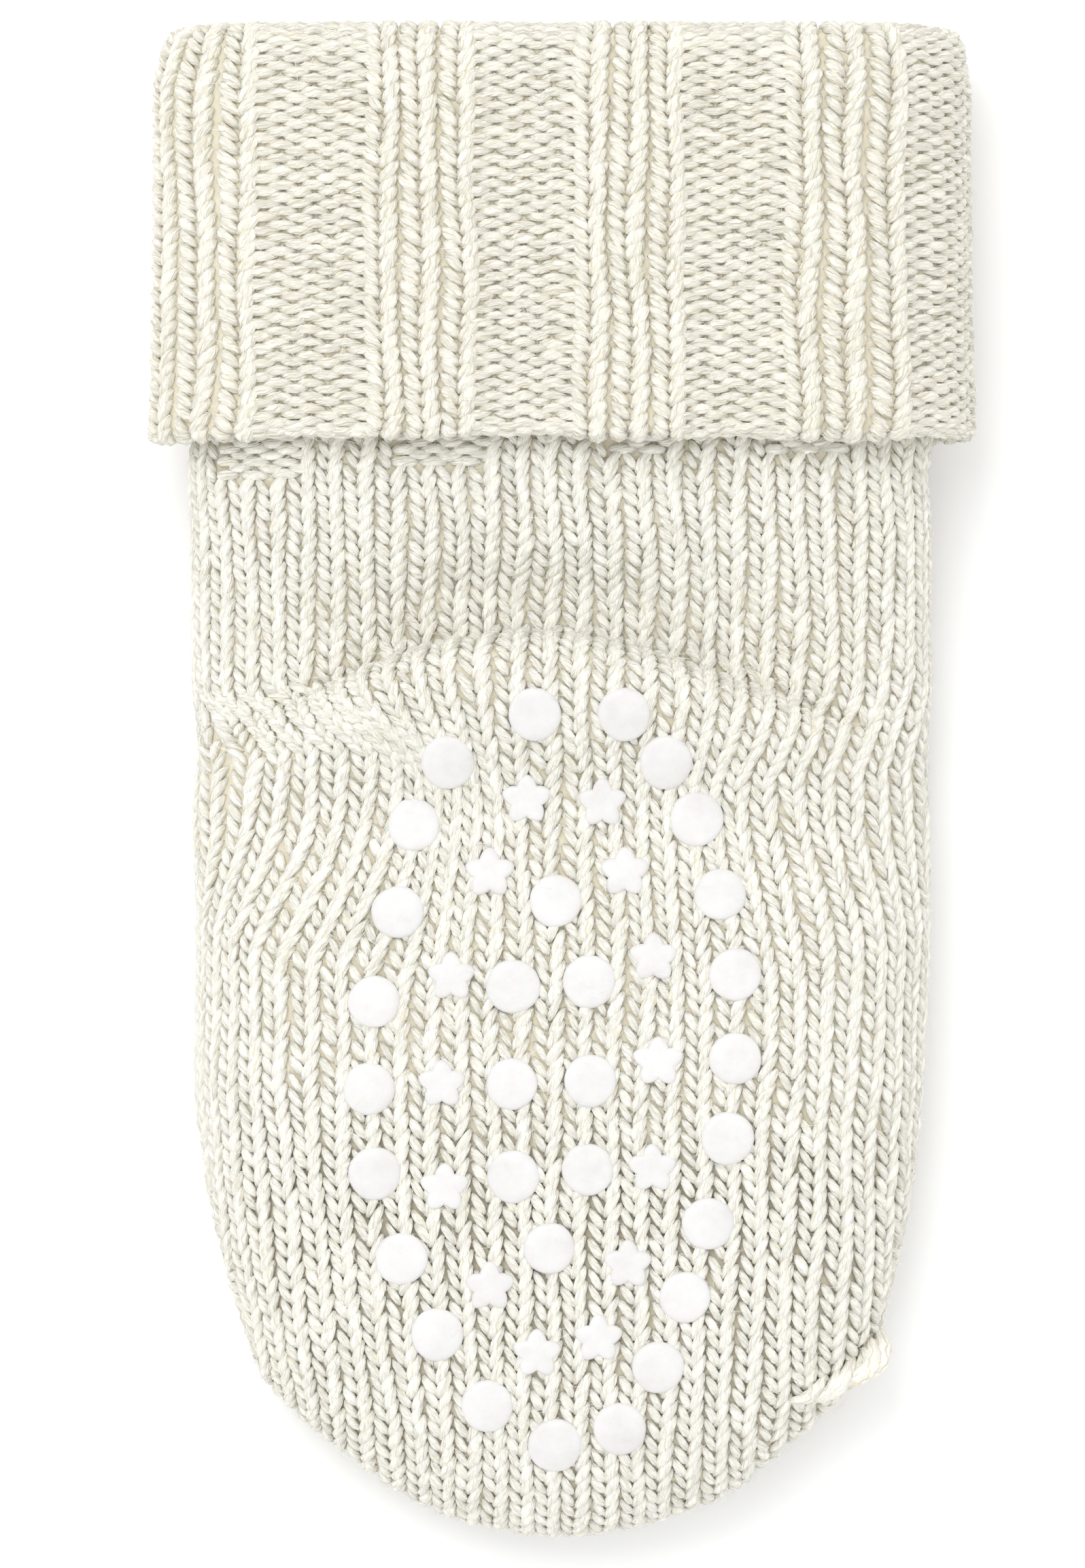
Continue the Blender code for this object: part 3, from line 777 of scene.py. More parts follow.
def yarn_material(name, light, middle, deep):
    """Wool yarn: fibres as stretched noise on the leaf's own UV, tone from broad noise.
    The tone also adds the bump's height and darkens each leaf's two ends, so the ramp paints
    shade into the grooves between fibres and plies and where a leaf dives under its neighbours,
    and paints highlight on the crests.
    """
    made, tree = new_material(name)
    spot = add(tree, "ShaderNodeTexCoord").outputs
    flat = add(tree, "ShaderNodeSeparateXYZ", _0=spot["UV"]).outputs
    twist = work_out(tree, "MULTIPLY_ADD", flat["X"], 0.32, flat["Y"])
    spread = work_out(tree, "MULTIPLY_ADD", noise(tree, spot["Object"], 900.0, 1.0), 0.25, twist)
    strand = add(tree, "ShaderNodeCombineXYZ", X=flat["X"], Y=spread).outputs["Vector"]
    stretch = add(tree, "ShaderNodeMapping", Vector=strand, Scale=FIBRE_SCALE).outputs["Vector"]
    grain = noise(tree, stretch, 1.0, 3.0, 0.55)
    fibres = add(tree, "ShaderNodeMapRange", Value=grain, From_Min=0.33, From_Max=0.67)
    rope = work_out(tree, "SINE", work_out(tree, "MULTIPLY", spread, 6.2832 * PLIES))
    height = work_out(tree, "MULTIPLY_ADD", rope, 0.16, fibres.outputs["Result"])
    ends = work_out(tree, "PINGPONG", work_out(tree, "FRACT", flat["X"]), 0.5)
    # Painted shade: the colour darkens towards both ends of each leaf, where it dives under its
    # neighbours.
    painted_end_shade = add(tree, "ShaderNodeMapRange", Value=ends, From_Max=0.22, To_Min=-0.18, To_Max=0.0)
    tone = work_out(tree, "MULTIPLY_ADD", noise(tree, spot["Object"], 55.0, 3.0), 0.35, height)
    tone = work_out(tree, "ADD", tone, painted_end_shade.outputs["Result"])
    # The deep stop is painted shade in the fibre grooves and at the leaf's ends; the light stop is
    # painted highlight on the crests.
    colour = ramp(tree, tone, ((0.05, deep), (0.45, middle), (0.85, light)))
    bump = add(tree, "ShaderNodeBump", Height=height, Strength=0.9, Distance=FIBRE_DEPTH)
    surface(tree, Base_Color=colour, Roughness=0.88, Normal=bump.outputs["Normal"],
            Specular_IOR_Level=0.18, Sheen_Weight=0.12, Sheen_Roughness=0.6)
    return made


# Stops of the wool: painted highlight, cream and painted shade.
wool_yarn = yarn_material("wool_yarn", "#FEFCF4", "#FAF7EA", "#E4DDC4")

# The rib of the cuff gets the same wool in darker tones: a copy in painted shade, for the shade that lies
# deeper in the turned-down rib.
rib_yarn_in_painted_shade = yarn_material("wool_yarn_of_the_rib_in_painted_shade", "#F8F5EA", "#EFEBDC", "#D5CDB2")

# One fibre alone: nearly clear and white, so it has one colour and no grain of its own.
wool_fibre, tree = new_material("single_wool_fibre")
surface(tree, Base_Color=linear("#FBF9F2"), Roughness=0.7, Specular_IOR_Level=0.3)
print("yarn materials ready")

# %% [markdown]
# ## Plain knit of the foot and leg
#
# Here the loops hang from the cuff towards the toes, so each wale is a column of arrowheads
# that point to the cuff. The yarn's twist makes the two legs of a loop differ. The leg that
# leans right lies along the twist: it is fat and smooth and runs into its neighbours. The leg
# that leans left lies across it: it is slimmer and each one stays apart, with shade below. A
# seeded jitter in size, lean and height keeps it from looking printed.

# %% Plain knit stitches
chance = np.random.default_rng(11)


def jitter(size, spread):
    """Seeded random numbers about zero, rarely past twice the spread."""
    return np.clip(chance.normal(0, spread, size), -2 * spread, 2 * spread)


def leaves(number, **values):
    """The values of so many leaves, with a single number repeated for each."""
    return {key: value + np.zeros(number) for key, value in values.items()}


def joined(*sets):
    """Several sets of leaves as one."""
    return {key: np.concatenate([one[key] for one in sets]) for key in sets[0]}


def plain_leaves(wale, row, stretch):
    """Two legs for each loop. The right-leaning one fills the left half of the wale, and the
    left-leaning one the right half. Stretch scales their length in courses."""
    n = len(wale)
    slide = jitter(n, 0.05)
    right_leaning = leaves(
        n, w0=wale - 0.47 + jitter(n, 0.03), s0=row - 1.05 * stretch + slide,
        w1=wale + 0.02 + jitter(n, 0.035), s1=row + 1.05 * stretch + slide,
        bow=-0.03 + jitter(n, 0.015), arc=0.0, h0=-0.40 * MM, h1=-0.32 * MM,
        rise=0.34 * MM + jitter(n, 0.05 * MM), wide=0.53 * MM + jitter(n, 0.05 * MM), deep=0.44 * MM,
    )
    slide = jitter(n, 0.06)
    left_leaning = leaves(
        n, w0=wale + 0.51 + jitter(n, 0.03), s0=row - 0.74 * stretch + slide,
        w1=wale + 0.06 + jitter(n, 0.035), s1=row + 0.74 * stretch + slide,
        bow=0.02 + jitter(n, 0.02), arc=0.0, h0=-0.40 * MM, h1=-0.46 * MM,
        rise=0.40 * MM + jitter(n, 0.05 * MM), wide=0.45 * MM + jitter(n, 0.05 * MM), deep=0.42 * MM,
    )
    return joined(right_leaning, left_leaning)


def loops(fabric, wales, low, high, span=(FOLD_MARGIN, 1.0)):
    """Every whole course of each wale between two course numbers that lies on its path and
    within a span of distances inside the side folds. A distance past a fold is negative."""
    wale, row = np.meshgrid(wales, np.arange(np.ceil(low), np.floor(high) + 1), indexing="ij")
    wale, row = wale.ravel(), row.ravel()
    column = np.round((wale - fabric["wales"][0]) / WALE_STEP).astype(int)
    course = np.round((row - fabric["rows"][0]) / COURSE_STEP).astype(int)
    course = np.clip(course, 0, len(fabric["rows"]) - 1)
    ends = fabric["ends"][column]
    kept = (row > ends[:, 0] + END_MARGIN) & (row < ends[:, 1] - END_MARGIN)
    inside = fabric["inside"][column, course]
    kept &= (inside > span[0]) & (inside <= span[1])
    return wale[kept], row[kept]


def centred(count):
    """Wale numbers of a face with so many wales, counted from its middle."""
    return np.arange(count) - (count - 1) / 2


# %% Sole and heel
wale, row = loops(sole_chart, centred(FOOT_WALES + 4), -60, 60)
front = row < 14
toe_loops = plain_leaves(wale[front], row[front], 1.0)
heel_loops = plain_leaves(wale[~front], row[~front], 1.0)
knit_piece("knit_toe_and_ball", [(sole_chart, toe_loops)], 6, wool_yarn)
knit_piece("knit_sole_and_heel", [(sole_chart, heel_loops)], 6, wool_yarn)

# %% Instep and shin, on the floor side
FOLD_SINK = 0.3 * MM
LEG_STRETCH = 1.05  # the leg's loops reach further over its closer courses


def under_knit(name, fabric, count, stretch):
    """The loops of a face that lies on the floor, with those of the wale just past each side
    fold. These are sunk a little, and show only where the wales above draw in from the fold."""
    face = plain_leaves(*loops(fabric, centred(count), 0, 60), stretch)
    past = loops(fabric, centred(count + 2), 0, 60, (-2 * MM, FOLD_MARGIN))
    fold = plain_leaves(*past, stretch)
    fold["h0"] -= FOLD_SINK
    fold["h1"] -= FOLD_SINK
    knit_piece(name, [(fabric, face), (fabric, fold)], 5, wool_yarn)


under_knit("knit_instep", instep_chart, FOOT_WALES, 1.0)
under_knit("knit_shin", shin_chart, LEG_WALES, LEG_STRETCH)

# %% [markdown]
# ## Ribbed cuff
#
# Three knit wales stand up as thick columns of arrowheads, now pointing to the hem, with dark
# grooves between them. Next to them three purl wales lie back: there the loops show their
# heads, which are short lens-shaped arcs set like bricks. Both come from the same leaf form.


# %% Rib stitches
PURL_BEND = 0.16  # rise of a purl arc in courses


def rib_leaves(wale, row):
    """Knit columns of the rib. The arrowheads point to the hem: the left leg runs down to the
    right in separate twists, and the right leg runs up to the right and is smoother."""
    n = len(wale)
    slide = jitter(n, 0.05)
    left = leaves(
        n, w0=wale - 0.45 + jitter(n, 0.025), s0=row + 0.80 + slide,
        w1=wale + jitter(n, 0.025), s1=row - 0.72 + slide,
        bow=-0.02, arc=0.0, h0=-0.50 * MM, h1=-0.45 * MM,
        rise=0.46 * MM + jitter(n, 0.05 * MM), wide=0.58 * MM + jitter(n, 0.05 * MM), deep=0.52 * MM,
    )
    slide = jitter(n, 0.05)
    right = leaves(
        n, w0=wale + jitter(n, 0.025), s0=row - 0.90 + slide,
        w1=wale + 0.44 + jitter(n, 0.025), s1=row + 0.95 + slide,
        bow=0.03, arc=0.0, h0=-0.40 * MM, h1=-0.46 * MM,
        rise=0.42 * MM + jitter(n, 0.05 * MM), wide=0.66 * MM + jitter(n, 0.05 * MM), deep=0.54 * MM,
    )
    return joined(left, right)


def purl_leaves(wale, row, bend, reach):
    """Short arcs across the wale, bowed up or down by the sign of bend. The crest of each lies
    on its course, and its ends dive under the crests of the courses half a step away."""
    n = len(wale)
    tip = jitter(n, 0.05)
    return leaves(
        n, w0=wale - reach, s0=row + tip - bend, w1=wale + reach, s1=row - tip - bend,
        bow=0.0, arc=bend + jitter(n, 0.05), h0=-0.66 * MM, h1=-0.66 * MM,
        rise=0.62 * MM + jitter(n, 0.06 * MM), wide=0.50 * MM + jitter(n, 0.045 * MM), deep=0.44 * MM,
    )


def purl_heads(wale, row):
    """The upward arcs of purl loops, each on its own course."""
    return purl_leaves(wale, row, PURL_BEND, 0.54)


def purl_feet(wale, row):
    """The downward arcs between two purl loops, half a course higher."""
    return purl_leaves(wale, row + 0.5, -PURL_BEND, 0.52)


def cuff_part(low, high, first, last):
    """The knit and purl leaves of the cuff between two courses and two wale numbers."""
    made = []
    for stitches, places in (
        (rib_leaves, (0.875, 1.875, 2.875)),
        (purl_heads, (3.875, 4.875, 5.875)),
        (purl_feet, (3.43, 4.375, 5.375, 6.32)),
    ):
        wales = (np.arange(0, CUFF_WALES, RIB_WALES)[:, None] + np.array(places)).ravel()
        wales = np.mod(wales, CUFF_WALES)
        wales = wales[(wales >= first) & (wales < last)]
        grid = np.meshgrid(wales, np.arange(low, high), indexing="ij")
        made.append(stitches(*[side.ravel() for side in grid]))
    whole = joined(*made)
    whole["w0"] = panel_place(whole["w0"])
    whole["w1"] = panel_place(whole["w1"])
    return whole


# %% Cuff pieces
FOLD_COURSE = 35
LAST_COURSE = 46
cuff_over = cuff_part(1, FOLD_COURSE, 0, CUFF_WALES / 2)
cuff_under = cuff_part(1, FOLD_COURSE, CUFF_WALES / 2, CUFF_WALES)
cuff_mouth = cuff_part(FOLD_COURSE, LAST_COURSE, 0, CUFF_WALES)
knit_piece("knit_cuff_upper", [(cuff_chart, cuff_over)], 6, rib_yarn_in_painted_shade)
knit_piece("knit_cuff_lower", [(cuff_chart, cuff_under)], 5, rib_yarn_in_painted_shade)
knit_piece("knit_collar", [(cuff_chart, cuff_mouth)], 5, rib_yarn_in_painted_shade)

# %% [markdown]
# ## Leg above the heel
#
# The leg starts as rib, under the turned-down cuff, and goes over into plain knit. Where a
# purl panel of the rib ends below the hem, a few rows of short cross bars still show. They
# are the same arcs as on the cuff, and they take the place of the plain loops there.

# %% Leg piece
PURL_ENDS = np.array([
    (-31.6, -23.5, 27.2), (-15.6, -7.7, 28.3), (2.6, 9.9, 29.4), (18.4, 25.1, 29.6),
]) * MM  # from x, to x, lowest y of each panel

wale, row = loops(leg_chart, centred(LEG_WALES), -60, 0)
spot = on_fabric(leg_chart, wale, row)[0]
barred = (spot[:, :1] > PURL_ENDS[:, 0]) & (spot[:, :1] < PURL_ENDS[:, 1])
barred = (barred & (spot[:, 1:2] > PURL_ENDS[:, 2])).any(axis=1)
leg_loops = plain_leaves(wale[~barred], row[~barred], LEG_STRETCH)
bars = purl_heads(wale[barred], row[barred])
links = purl_feet(wale[barred] + 0.5, row[barred])
knit_piece("knit_leg_back", [(leg_chart, joined(leg_loops, bars, links))], 6, wool_yarn)

# %% [markdown]
# ## Toe seam
#
# The open end of the tube is closed by linking: a thread is sewn over and over across the two
# edges, which leaves a ridge of slanting stitches under the toes. At the right it comes up
# over the side fold, and there its ends are drawn into a thick knot, the ear. The ridge gets a
# small chart of its own along the seam, and its stitches are leaves that arch over it. Their
# arch is higher and their yarn fatter in the ear.


# %% Chart along the seam
def seam_chart(stitches):
    """A chart whose wales are the stitches of the seam and whose courses are millimetres
    across it. It starts in the ear, on the upper face, and ends under the left fold."""
    fine = np.linspace(2.20, 1.08, 400)
    length = row_lengths(skin(fine[None, :], np.full((1, 400), SEAM)))[0]
    wales = np.arange(0, stitches + WALE_STEP, WALE_STEP)
    around = np.interp(wales / stitches * length[-1], length, fine)[:, None]
    slope = 1.5 * MM * ease((around - 1.90) / 0.12) - 4.0 * MM * ease((around - 2.02) / 0.18)
    v = SEAM + slope + np.linspace(-3, 3, 25)[None, :] * MM
    made = chart(wales, skin(around + 0 * v, v), MM, 12)
    print("toe seam:", round(1000 * length[-1]), "mm for", stitches, "stitches")
    return made, around[:, 0]


SEAM_STITCHES = 66
linked, seam_around = seam_chart(SEAM_STITCHES)


# %% Seam stitches
def seam_leaves(wale, ear, lift, size):
    """Stitches that arch across the seam with a slant. Ear is one in the knot and zero
    elsewhere, and there both the arch and the yarn grow."""
    n = len(wale)
    broad = size * (1 + 0.8 * ear + jitter(n, 0.18) * ear)
    lean = 0.35 + 0.55 * ear
    return leaves(
        n, w0=wale - lean + jitter(n, 0.20), s0=-0.90 * broad + jitter(n, 0.25),
        w1=wale + lean + jitter(n, 0.20), s1=0.90 * broad + jitter(n, 0.25),
        bow=jitter(n, 0.20), arc=jitter(n, 0.15), h0=-0.15 * MM, h1=-0.15 * MM,
        rise=(lift + 1.1 * MM * ear) * (1 + jitter(n, 0.12)),
        wide=0.44 * MM * broad, deep=0.42 * MM * broad,
    )


stitch = np.arange(0.5, SEAM_STITCHES)
place = np.interp(stitch, linked["wales"], seam_around)
ear = ease((place - 1.99) / 0.06) * (1 - 0.75 * ease((place - 2.08) / 0.14))
ridge = seam_leaves(stitch, ear, 0.72 * MM, 1.0)
core = seam_leaves(stitch + 0.5, 0.55 * ear, 0.40 * MM, 0.85)
seam_knit = knit_piece("knit_toe_seam", [(linked, ridge), (linked, core)], 8, wool_yarn)
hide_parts("toe_seam")

# %% [markdown]
# ## Loose fibres
#
# Wool never lies quite flat: single fibres stand off every strand and blur the edges of the
# loops and the outline. Each is a very thin leaf of three sides, laid at a random angle just
# over the stitches. A particle system could scatter them too, but as one array they cost
# little and stay the same in every render.


# %% Fuzz
def fuzz(wale, row, number, reach):
    """Fibres that start near random stitches. Each runs a random way for up to reach wales,
    is bowed twice and rises from the yarn to up to a millimetre over it."""
    pick = chance.integers(0, len(wale), number)
    way = chance.uniform(0, 2 * np.pi, number)
    run = reach * chance.uniform(0.35, 1.0, number)
    thin = chance.uniform(0.010, 0.021, number) * MM
    from_wale = wale[pick] + chance.uniform(-0.5, 0.5, number)
    from_row = row[pick] + chance.uniform(-0.5, 0.5, number)
    return {
        "w0": from_wale, "s0": from_row,
        "w1": from_wale + run * np.cos(way), "s1": from_row + 2 * run * np.sin(way),
        "bow": jitter(number, 0.25), "arc": jitter(number, 0.5),
        "h0": chance.uniform(0.15, 0.40, number) * MM, "h1": chance.uniform(0.30, 1.00, number) * MM,
        "rise": jitter(number, 0.14 * MM), "wide": thin, "deep": thin,
    }


sole_spots = loops(sole_chart, centred(FOOT_WALES + 4), -60, 60)
leg_spots = loops(leg_chart, centred(LEG_WALES), -60, 0)
cuff_spots = [a.ravel() for a in np.meshgrid(np.arange(CUFF_WALES), np.arange(1, 46), indexing="ij")]
fuzz_parts = [
    (sole_chart, fuzz(*sole_spots, 1900, 1.5)), (leg_chart, fuzz(*leg_spots, 600, 1.5)),
    (cuff_chart, fuzz(*cuff_spots, 1500, 1.3)),
]
knit_piece("loose_fibres", fuzz_parts, 3, wool_fibre)

# %% [markdown]
# ## The fabric behind the loops
#
# Between the loops one sees the shaded inside of the fabric. It is one sheet two thirds of a
# millimetre below the outer face, lofted from rings that follow the whole sock and the inner
# face of its turned-down cuff, and a Solidify modifier gives it a wall. The same sheet is the
# lining of the open mouth. Its colour is an olive beige darker than the yarn's, painted shade
# for the depth between the loops, and small cells in its bump stand for the back of the knit.

# %% Backing material
backing, tree = new_material("wool_in_painted_shade")
spot = add(tree, "ShaderNodeTexCoord").outputs["Object"]
# Painted shade: the sheet's colours are darker than the yarn's, for the shade between the loops.
colour = ramp(tree, noise(tree, spot, 700.0, 3.0), ((0.3, "#D3CCB5"), (0.7, "#E2DCCA")))
cells = add(tree, "ShaderNodeMapping", Vector=spot, Scale=(370.0, 780.0, 370.0)).outputs["Vector"]
knots = add(tree, "ShaderNodeTexVoronoi", Vector=cells, Scale=1.0)
bump = add(tree, "ShaderNodeBump", Height=knots.outputs["Distance"], Strength=0.8, Distance=0.3 * MM)
surface(tree, Base_Color=colour, Roughness=0.95, Normal=bump.outputs["Normal"],
        Specular_IOR_Level=0.1)

# %% Backing sheet
DEPTH = 0.65 * MM
BACKING_WALL = 0.6 * MM
RING = 96
AROUND_STEP = 0.012
ALONG_STEP = 0.5 * MM


def backing_sheet(name, points, faces):
    """A mesh of the backing's wool with a wall on its inner side."""
    made = add_mesh(name, points, faces, backing)
    wall = made.modifiers.new("Fabric", "SOLIDIFY")
    wall.thickness = BACKING_WALL
    wall.offset = -1.0
    return made


def ring_normal(around, v):
    """Outward direction of the outer face from steps around and along the tube. The steps are
    wide enough to bridge the side folds, where shorter ones would read the path's corners."""
    across = skin(around + AROUND_STEP, v) - skin(around - AROUND_STEP, v)
    along = skin(around, v + ALONG_STEP) - skin(around, np.maximum(v - ALONG_STEP, TIP))
    return unit(np.cross(along, across))


def backing_rings():
    """Rings of the sheet: the outer face moved in by DEPTH along its normal up to the collar,
    then the fold's half circle and the cuff's inner face down to the hem."""
    turn = np.linspace(0, np.pi / 2, 22)[1:]
    v = np.concatenate([
        TIP + TOE_LENGTH * (1 - np.cos(turn)),
        np.linspace(TOE_END, HEEL - HEEL_SPAN, 12)[1:],
        np.linspace(HEEL - HEEL_SPAN, HEEL + 0.5 * HEEL_SPAN, 36)[1:],
        np.linspace(HEEL + 0.5 * HEEL_SPAN, FOLD_START, 20)[1:],
    ])
    around = np.arange(RING) * 2 / RING + 0.5 / RING
    around = np.broadcast_to(around, (len(v), RING))
    stations = np.broadcast_to(v[:, None], around.shape)
    face = skin(around, stations)
    toe = ease((v - TIP) / (1.1 * TOE_LENGTH))
    level = underside(v) + 0.44 * (LEG_THICK + (TOE_THICK - LEG_THICK) * (1 - toe))
    tall = np.where(np.mod(around, 2) < 1, 0.56, 0.44) * TOE_THICK
    x = face[..., 0] * (1 - DEPTH / FOOT_HALF)
    y = TIP + DEPTH + (face[..., 1] - TIP) * (1 - DEPTH / TOE_LENGTH)
    z = level[:, None] + (face[..., 2] - level[:, None]) * (1 - DEPTH / tall)
    shrunk = np.stack([x, y, z], axis=-1)
    along = ease((v - TOE_END + 10 * MM) / (10 * MM))[:, None, None]
    body = (1 - along) * shrunk + along * (face - DEPTH * ring_normal(around, stations))
    collar = skin(around[-1], stations[-1])
    run = np.roll(collar, -1, axis=0) - np.roll(collar, 1, axis=0)
    push = unit(np.stack([run[:, 2], 0 * run[:, 0], -run[:, 0]], axis=1))
    bend = np.linspace(0, np.pi, 8)[1:]
    radius = (DEPTH + CUFF_GAP) / 2
    over = [collar + push * (radius * (1 - np.cos(b)) - DEPTH) + [0, radius * np.sin(b), 0] for b in bend]
    down = []
    for v in np.linspace(FOLD_START, HEM + 1.2 * MM, 16)[1:]:
        ring = skin(around[0], np.full(RING, v))
        down.append(ring + push * (CUFF_GAP + 0.4 * RIB_RISE))
    return np.concatenate([body, np.array(over), np.array(down)])


rings = backing_rings()
number = len(rings)
tip = skin(np.array([0.5]), np.array([TIP]))[0] + np.array([0, DEPTH, 0])
points = np.concatenate([[tip], rings.reshape(-1, 3)])
row = np.arange(number - 1)[:, None] * RING + 1
side = np.arange(RING)[None, :]
after = (side + 1) % RING
quads = np.stack([row + side, row + RING + side, row + RING + after, row + after], axis=-1)
cap = np.stack([0 * side[0], 1 + side[0], 1 + after[0]], axis=-1)
shell = backing_sheet("knit_backing", points, quads.reshape(-1, 4).tolist() + cap.tolist())
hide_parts("knit_upper")
print("backing has", number, "rings")

# %% [markdown]
# The turned-down cuff needs a sheet of its own, because its rib stands out and sinks back. It
# is the cuff's chart moved in by the same depth, so that the grooves of the rib end in wool.

# %% Backing of the cuff
inner = slice(4, 4 + 4 * CUFF_WALES, 2)
shown = (cuff_chart["rows"] >= 0) & (cuff_chart["rows"] <= LAST_COURSE) & (cuff_chart["rows"] % 1 == 0)
points = (cuff_chart["place"] - DEPTH * cuff_chart["out"])[inner][:, shown]
columns, rows = points.shape[:2]
column = np.arange(columns)[:, None]
row = np.arange(rows - 1)[None, :]
beside = (column + 1) % columns
quads = [column * rows + row, beside * rows + row, beside * rows + row + 1, column * rows + row + 1]
quads = np.stack(quads, axis=-1).reshape(-1, 4).tolist()
# It has the same painted-shade wool as the backing.
backing_sheet("cuff_backing", points.reshape(-1, 3), quads)
print("cuff backing:", columns, "by", rows)

# %% [markdown]
# ## Grip print
#
# Dots and small stars of white silicone are screened through a stencil on to the sole and
# cured. The paste sinks between the loops, levels out on top and keeps a soft rounded rim, so
# each is a low drop, nearly flat in the middle. It could be a cylinder, but a charted profile
# that rounds over to a rim below the loops gives the real meniscus. Each drop is laid on the
# sole's own height at every point, so that it follows the foot.

# %% Print chart
RING_DOTS = np.array([
    (-0.441, 0.790), (-0.505, 0.678), (-0.518, 0.569), (-0.503, 0.463), (-0.432, 0.356),
    (-0.336, 0.261), (-0.202, 0.171), (-0.020, 0.121), (0.154, 0.142), (0.257, 0.220),
    (0.329, 0.308), (0.391, 0.400), (0.443, 0.507), (0.463, 0.607), (0.463, 0.712),
    (0.423, 0.812), (0.360, 0.906), (0.277, 0.976), (0.165, 1.036), (-0.074, 1.036),
    (-0.307, 0.976), (-0.399, 0.899),
])
INNER_DOTS = np.array([
    (-0.018, 0.804), (-0.132, 0.697), (0.072, 0.703), (-0.136, 0.575), (0.075, 0.579),
    (-0.132, 0.459), (0.068, 0.468), (-0.035, 0.369),
])
STARS = np.array([
    (-0.195, 0.839), (0.167, 0.840), (-0.298, 0.709), (0.244, 0.733), (-0.323, 0.575),
    (0.257, 0.603), (-0.316, 0.445), (0.241, 0.469), (-0.195, 0.321), (0.176, 0.349),
    (-0.068, 0.237), (0.097, 0.256), (-0.096, 0.930), (0.107, 0.926),
])


def sole_station(x, y):
    """The station whose skin lies over a plan position, found by halving the interval."""
    low = np.full(x.shape, TIP)
    high = np.full(x.shape, COLLAR)
    for _ in range(24):
        v = (low + high) / 2
        point = skin_at(x, v, np.full(x.shape, True))
        short = point[..., 1] < y
        low = np.where(short, v, low)
        high = np.where(short, high, v)
    return v


# %% Silicone
silicone, tree = new_material("silicone_print")
spot = add(tree, "ShaderNodeTexCoord").outputs["Object"]
lint = noise(tree, spot, 260.0, 5.0, 0.7)
colour = ramp(tree, lint, ((0.30, "#D9D7D6"), (0.52, "#E0DFDE"), (0.75, "#E6E5E5")))
swirl = noise(tree, spot, 620.0, 2.0)
bump = add(tree, "ShaderNodeBump", Height=swirl, Strength=0.25, Distance=0.12 * MM)
surface(tree, Base_Color=colour, Roughness=0.4, Normal=bump.outputs["Normal"], IOR=1.41,
        Subsurface_Weight=0.25, Subsurface_Scale=0.6 * MM)

# %% Drops
DROP_SIDES = 40
DROP_SHARE = np.array([1.0, 1.02, 0.985, 0.92, 0.80, 0.60, 0.34])  # of the plan's radius
DROP_HEIGHT = np.array([-0.50, -0.12, 0.10, 0.23, 0.31, 0.35, 0.37]) * MM
DROP_TOP = 0.38 * MM
SLOPE_STEP = 0.4 * MM


def sole_face(x, v):
    """The knit's outer face on the sole."""
    return skin_at(x, v, np.full(x.shape, True))


def drop_points(x, y):
    """Places and outward directions on the sole at plan positions. Each direction is halfway
    between the sole's own and that of the drop's middle, which comes last."""
    v = sole_station(x, y)
    dx = sole_face(x + SLOPE_STEP, v) - sole_face(x - SLOPE_STEP, v)
    dy = sole_face(x, v + SLOPE_STEP) - sole_face(x, v - SLOPE_STEP)
    out = unit(np.cross(dx, dy))
    return sole_face(x, v), unit(0.5 * out + 0.5 * out[:, -1:])


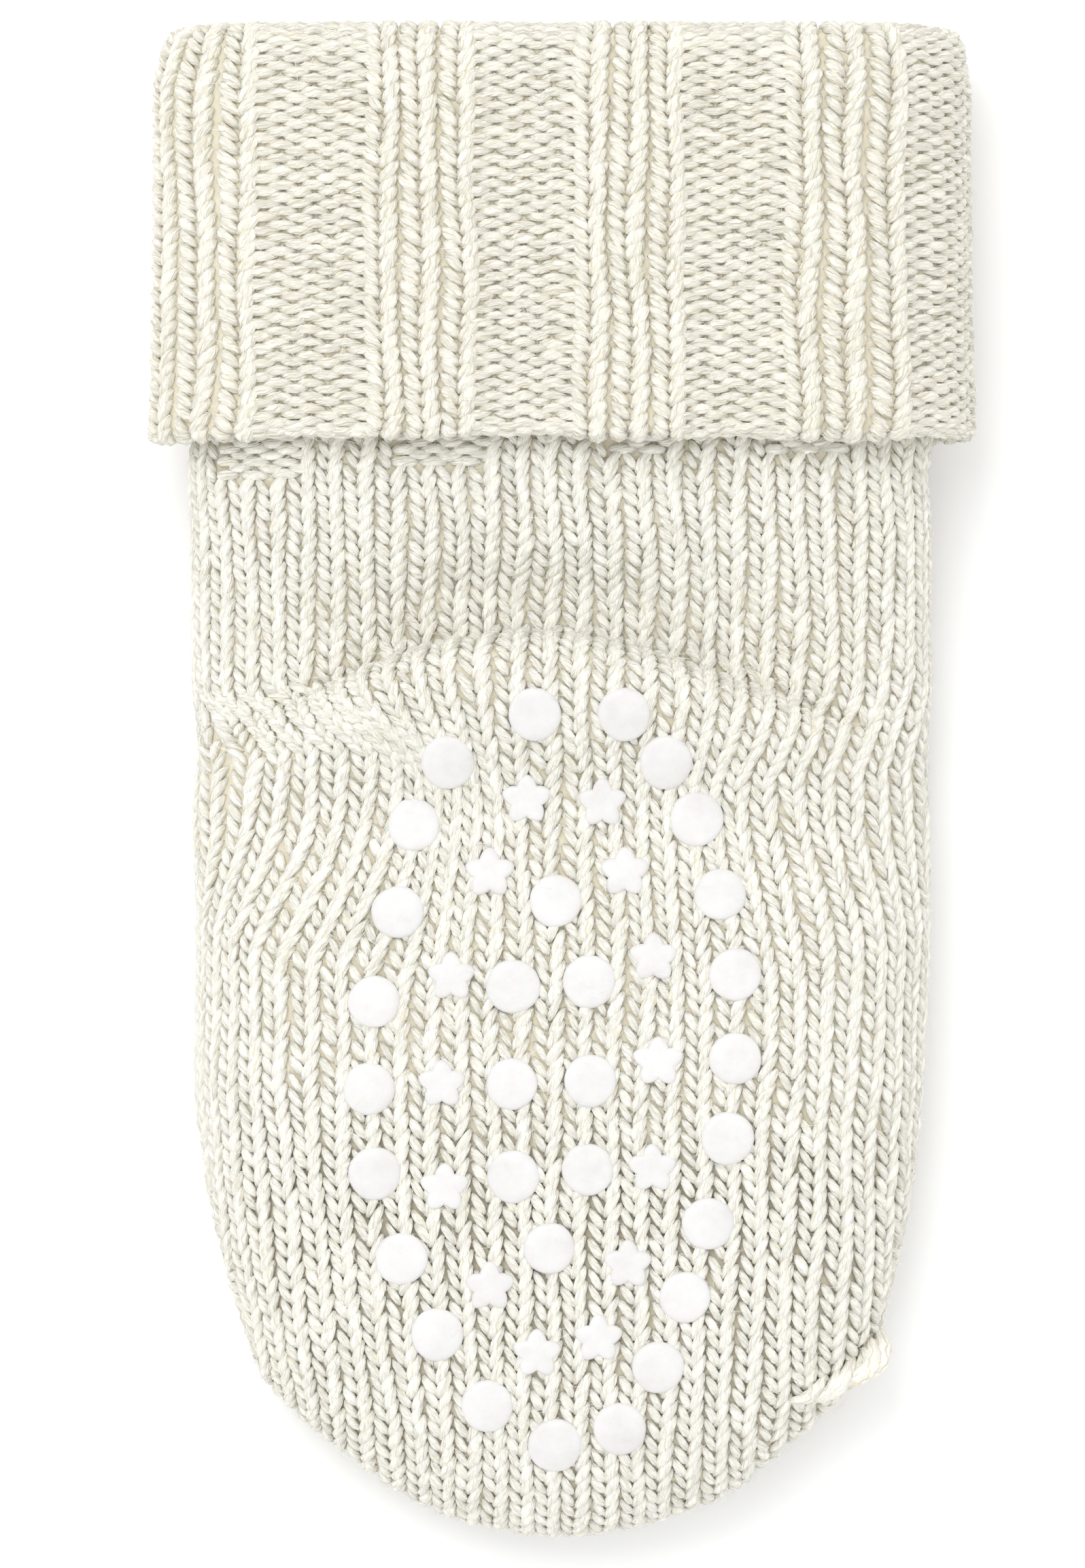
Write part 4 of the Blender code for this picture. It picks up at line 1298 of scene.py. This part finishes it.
def drop_piece(name, centres, plan, nodes):
    """Joined drops. In polar form a drop has the plan's radius at each angle, a little uneven,
    and a charted height over shares of it, from a rim under the tops of the loops."""
    turn = np.linspace(0, 2 * np.pi, DROP_SIDES, endpoint=False)
    number = len(centres)
    radius = plan(turn)[None] * (1 + 0.012 * chance.normal(0, 1, (number, 1)))
    for wave in (2, 3, 5):
        phase = chance.uniform(0, 2 * np.pi, (number, 1))
        radius = radius * (1 + 0.014 / wave**0.5 * np.cos(wave * turn[None] + phase))
    reach = radius[:, None, :] * DROP_SHARE[None, :, None]
    x = centres[:, 0, None, None] + reach * np.cos(turn)
    y = centres[:, 1, None, None] + reach * np.sin(turn)
    x = np.concatenate([x.reshape(number, -1), centres[:, :1]], axis=1)
    y = np.concatenate([y.reshape(number, -1), centres[:, 1:]], axis=1)
    rise = np.concatenate([np.repeat(DROP_HEIGHT, DROP_SIDES), [DROP_TOP]])
    place, out = drop_points(x, y)
    points = place + out * rise[None, :, None]
    side = np.arange(DROP_SIDES)
    after = (side + 1) % DROP_SIDES
    starts = DROP_SIDES * np.arange(len(DROP_SHARE))[:, None]
    rings = [starts[:-1] + side, starts[:-1] + after, starts[1:] + after, starts[1:] + side]
    last = starts[-1, 0]
    cap = np.stack([last + side, last + after, 0 * side + last + DROP_SIDES], axis=1)
    first = (np.arange(number) * points.shape[1])[:, None, None]
    quads = (first + np.stack(rings, axis=-1).reshape(-1, 4)).reshape(-1, 4).tolist()
    cap = (first + cap).reshape(-1, 3).tolist()
    base = (first[:, :, 0] + side[::-1][None]).tolist()
    made = add_mesh(name, points.reshape(-1, 3), quads + cap + base, silicone)
    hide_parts(*nodes)
    print(name, "has", number, "drops")


def dot_plan(turn):
    """A circle."""
    return np.full(turn.shape, DOT_RADIUS)


def star_plan(turn):
    """A five-pointed star with soft tips: the radius falls from tip to notch almost evenly,
    and a square root rounds the tip itself."""
    place = np.abs(np.mod((turn - np.pi / 2) * 5 / (2 * np.pi) + 0.5, 1.0) - 0.5) * 2
    return STAR_RADIUS * (0.66 + 0.40 * (1.02 - np.sqrt(place**2 + 0.04)))


def plan_places(table):
    """Chart rows as x and y: a share of the half width, and of the heel's distance."""
    return np.stack([table[:, 0] * FOOT_HALF, TIP + table[:, 1] * HEEL_AT], axis=1)


dots = plan_places(np.concatenate([RING_DOTS, INNER_DOTS]))
stars = plan_places(STARS)
drop_piece("grip_dots", dots, dot_plan, [f"grip_dot_{n:02d}" for n in range(1, len(dots) + 1)])
drop_piece("grip_stars", stars, star_plan, [f"grip_star_{n:02d}" for n in range(1, len(stars) + 1)])
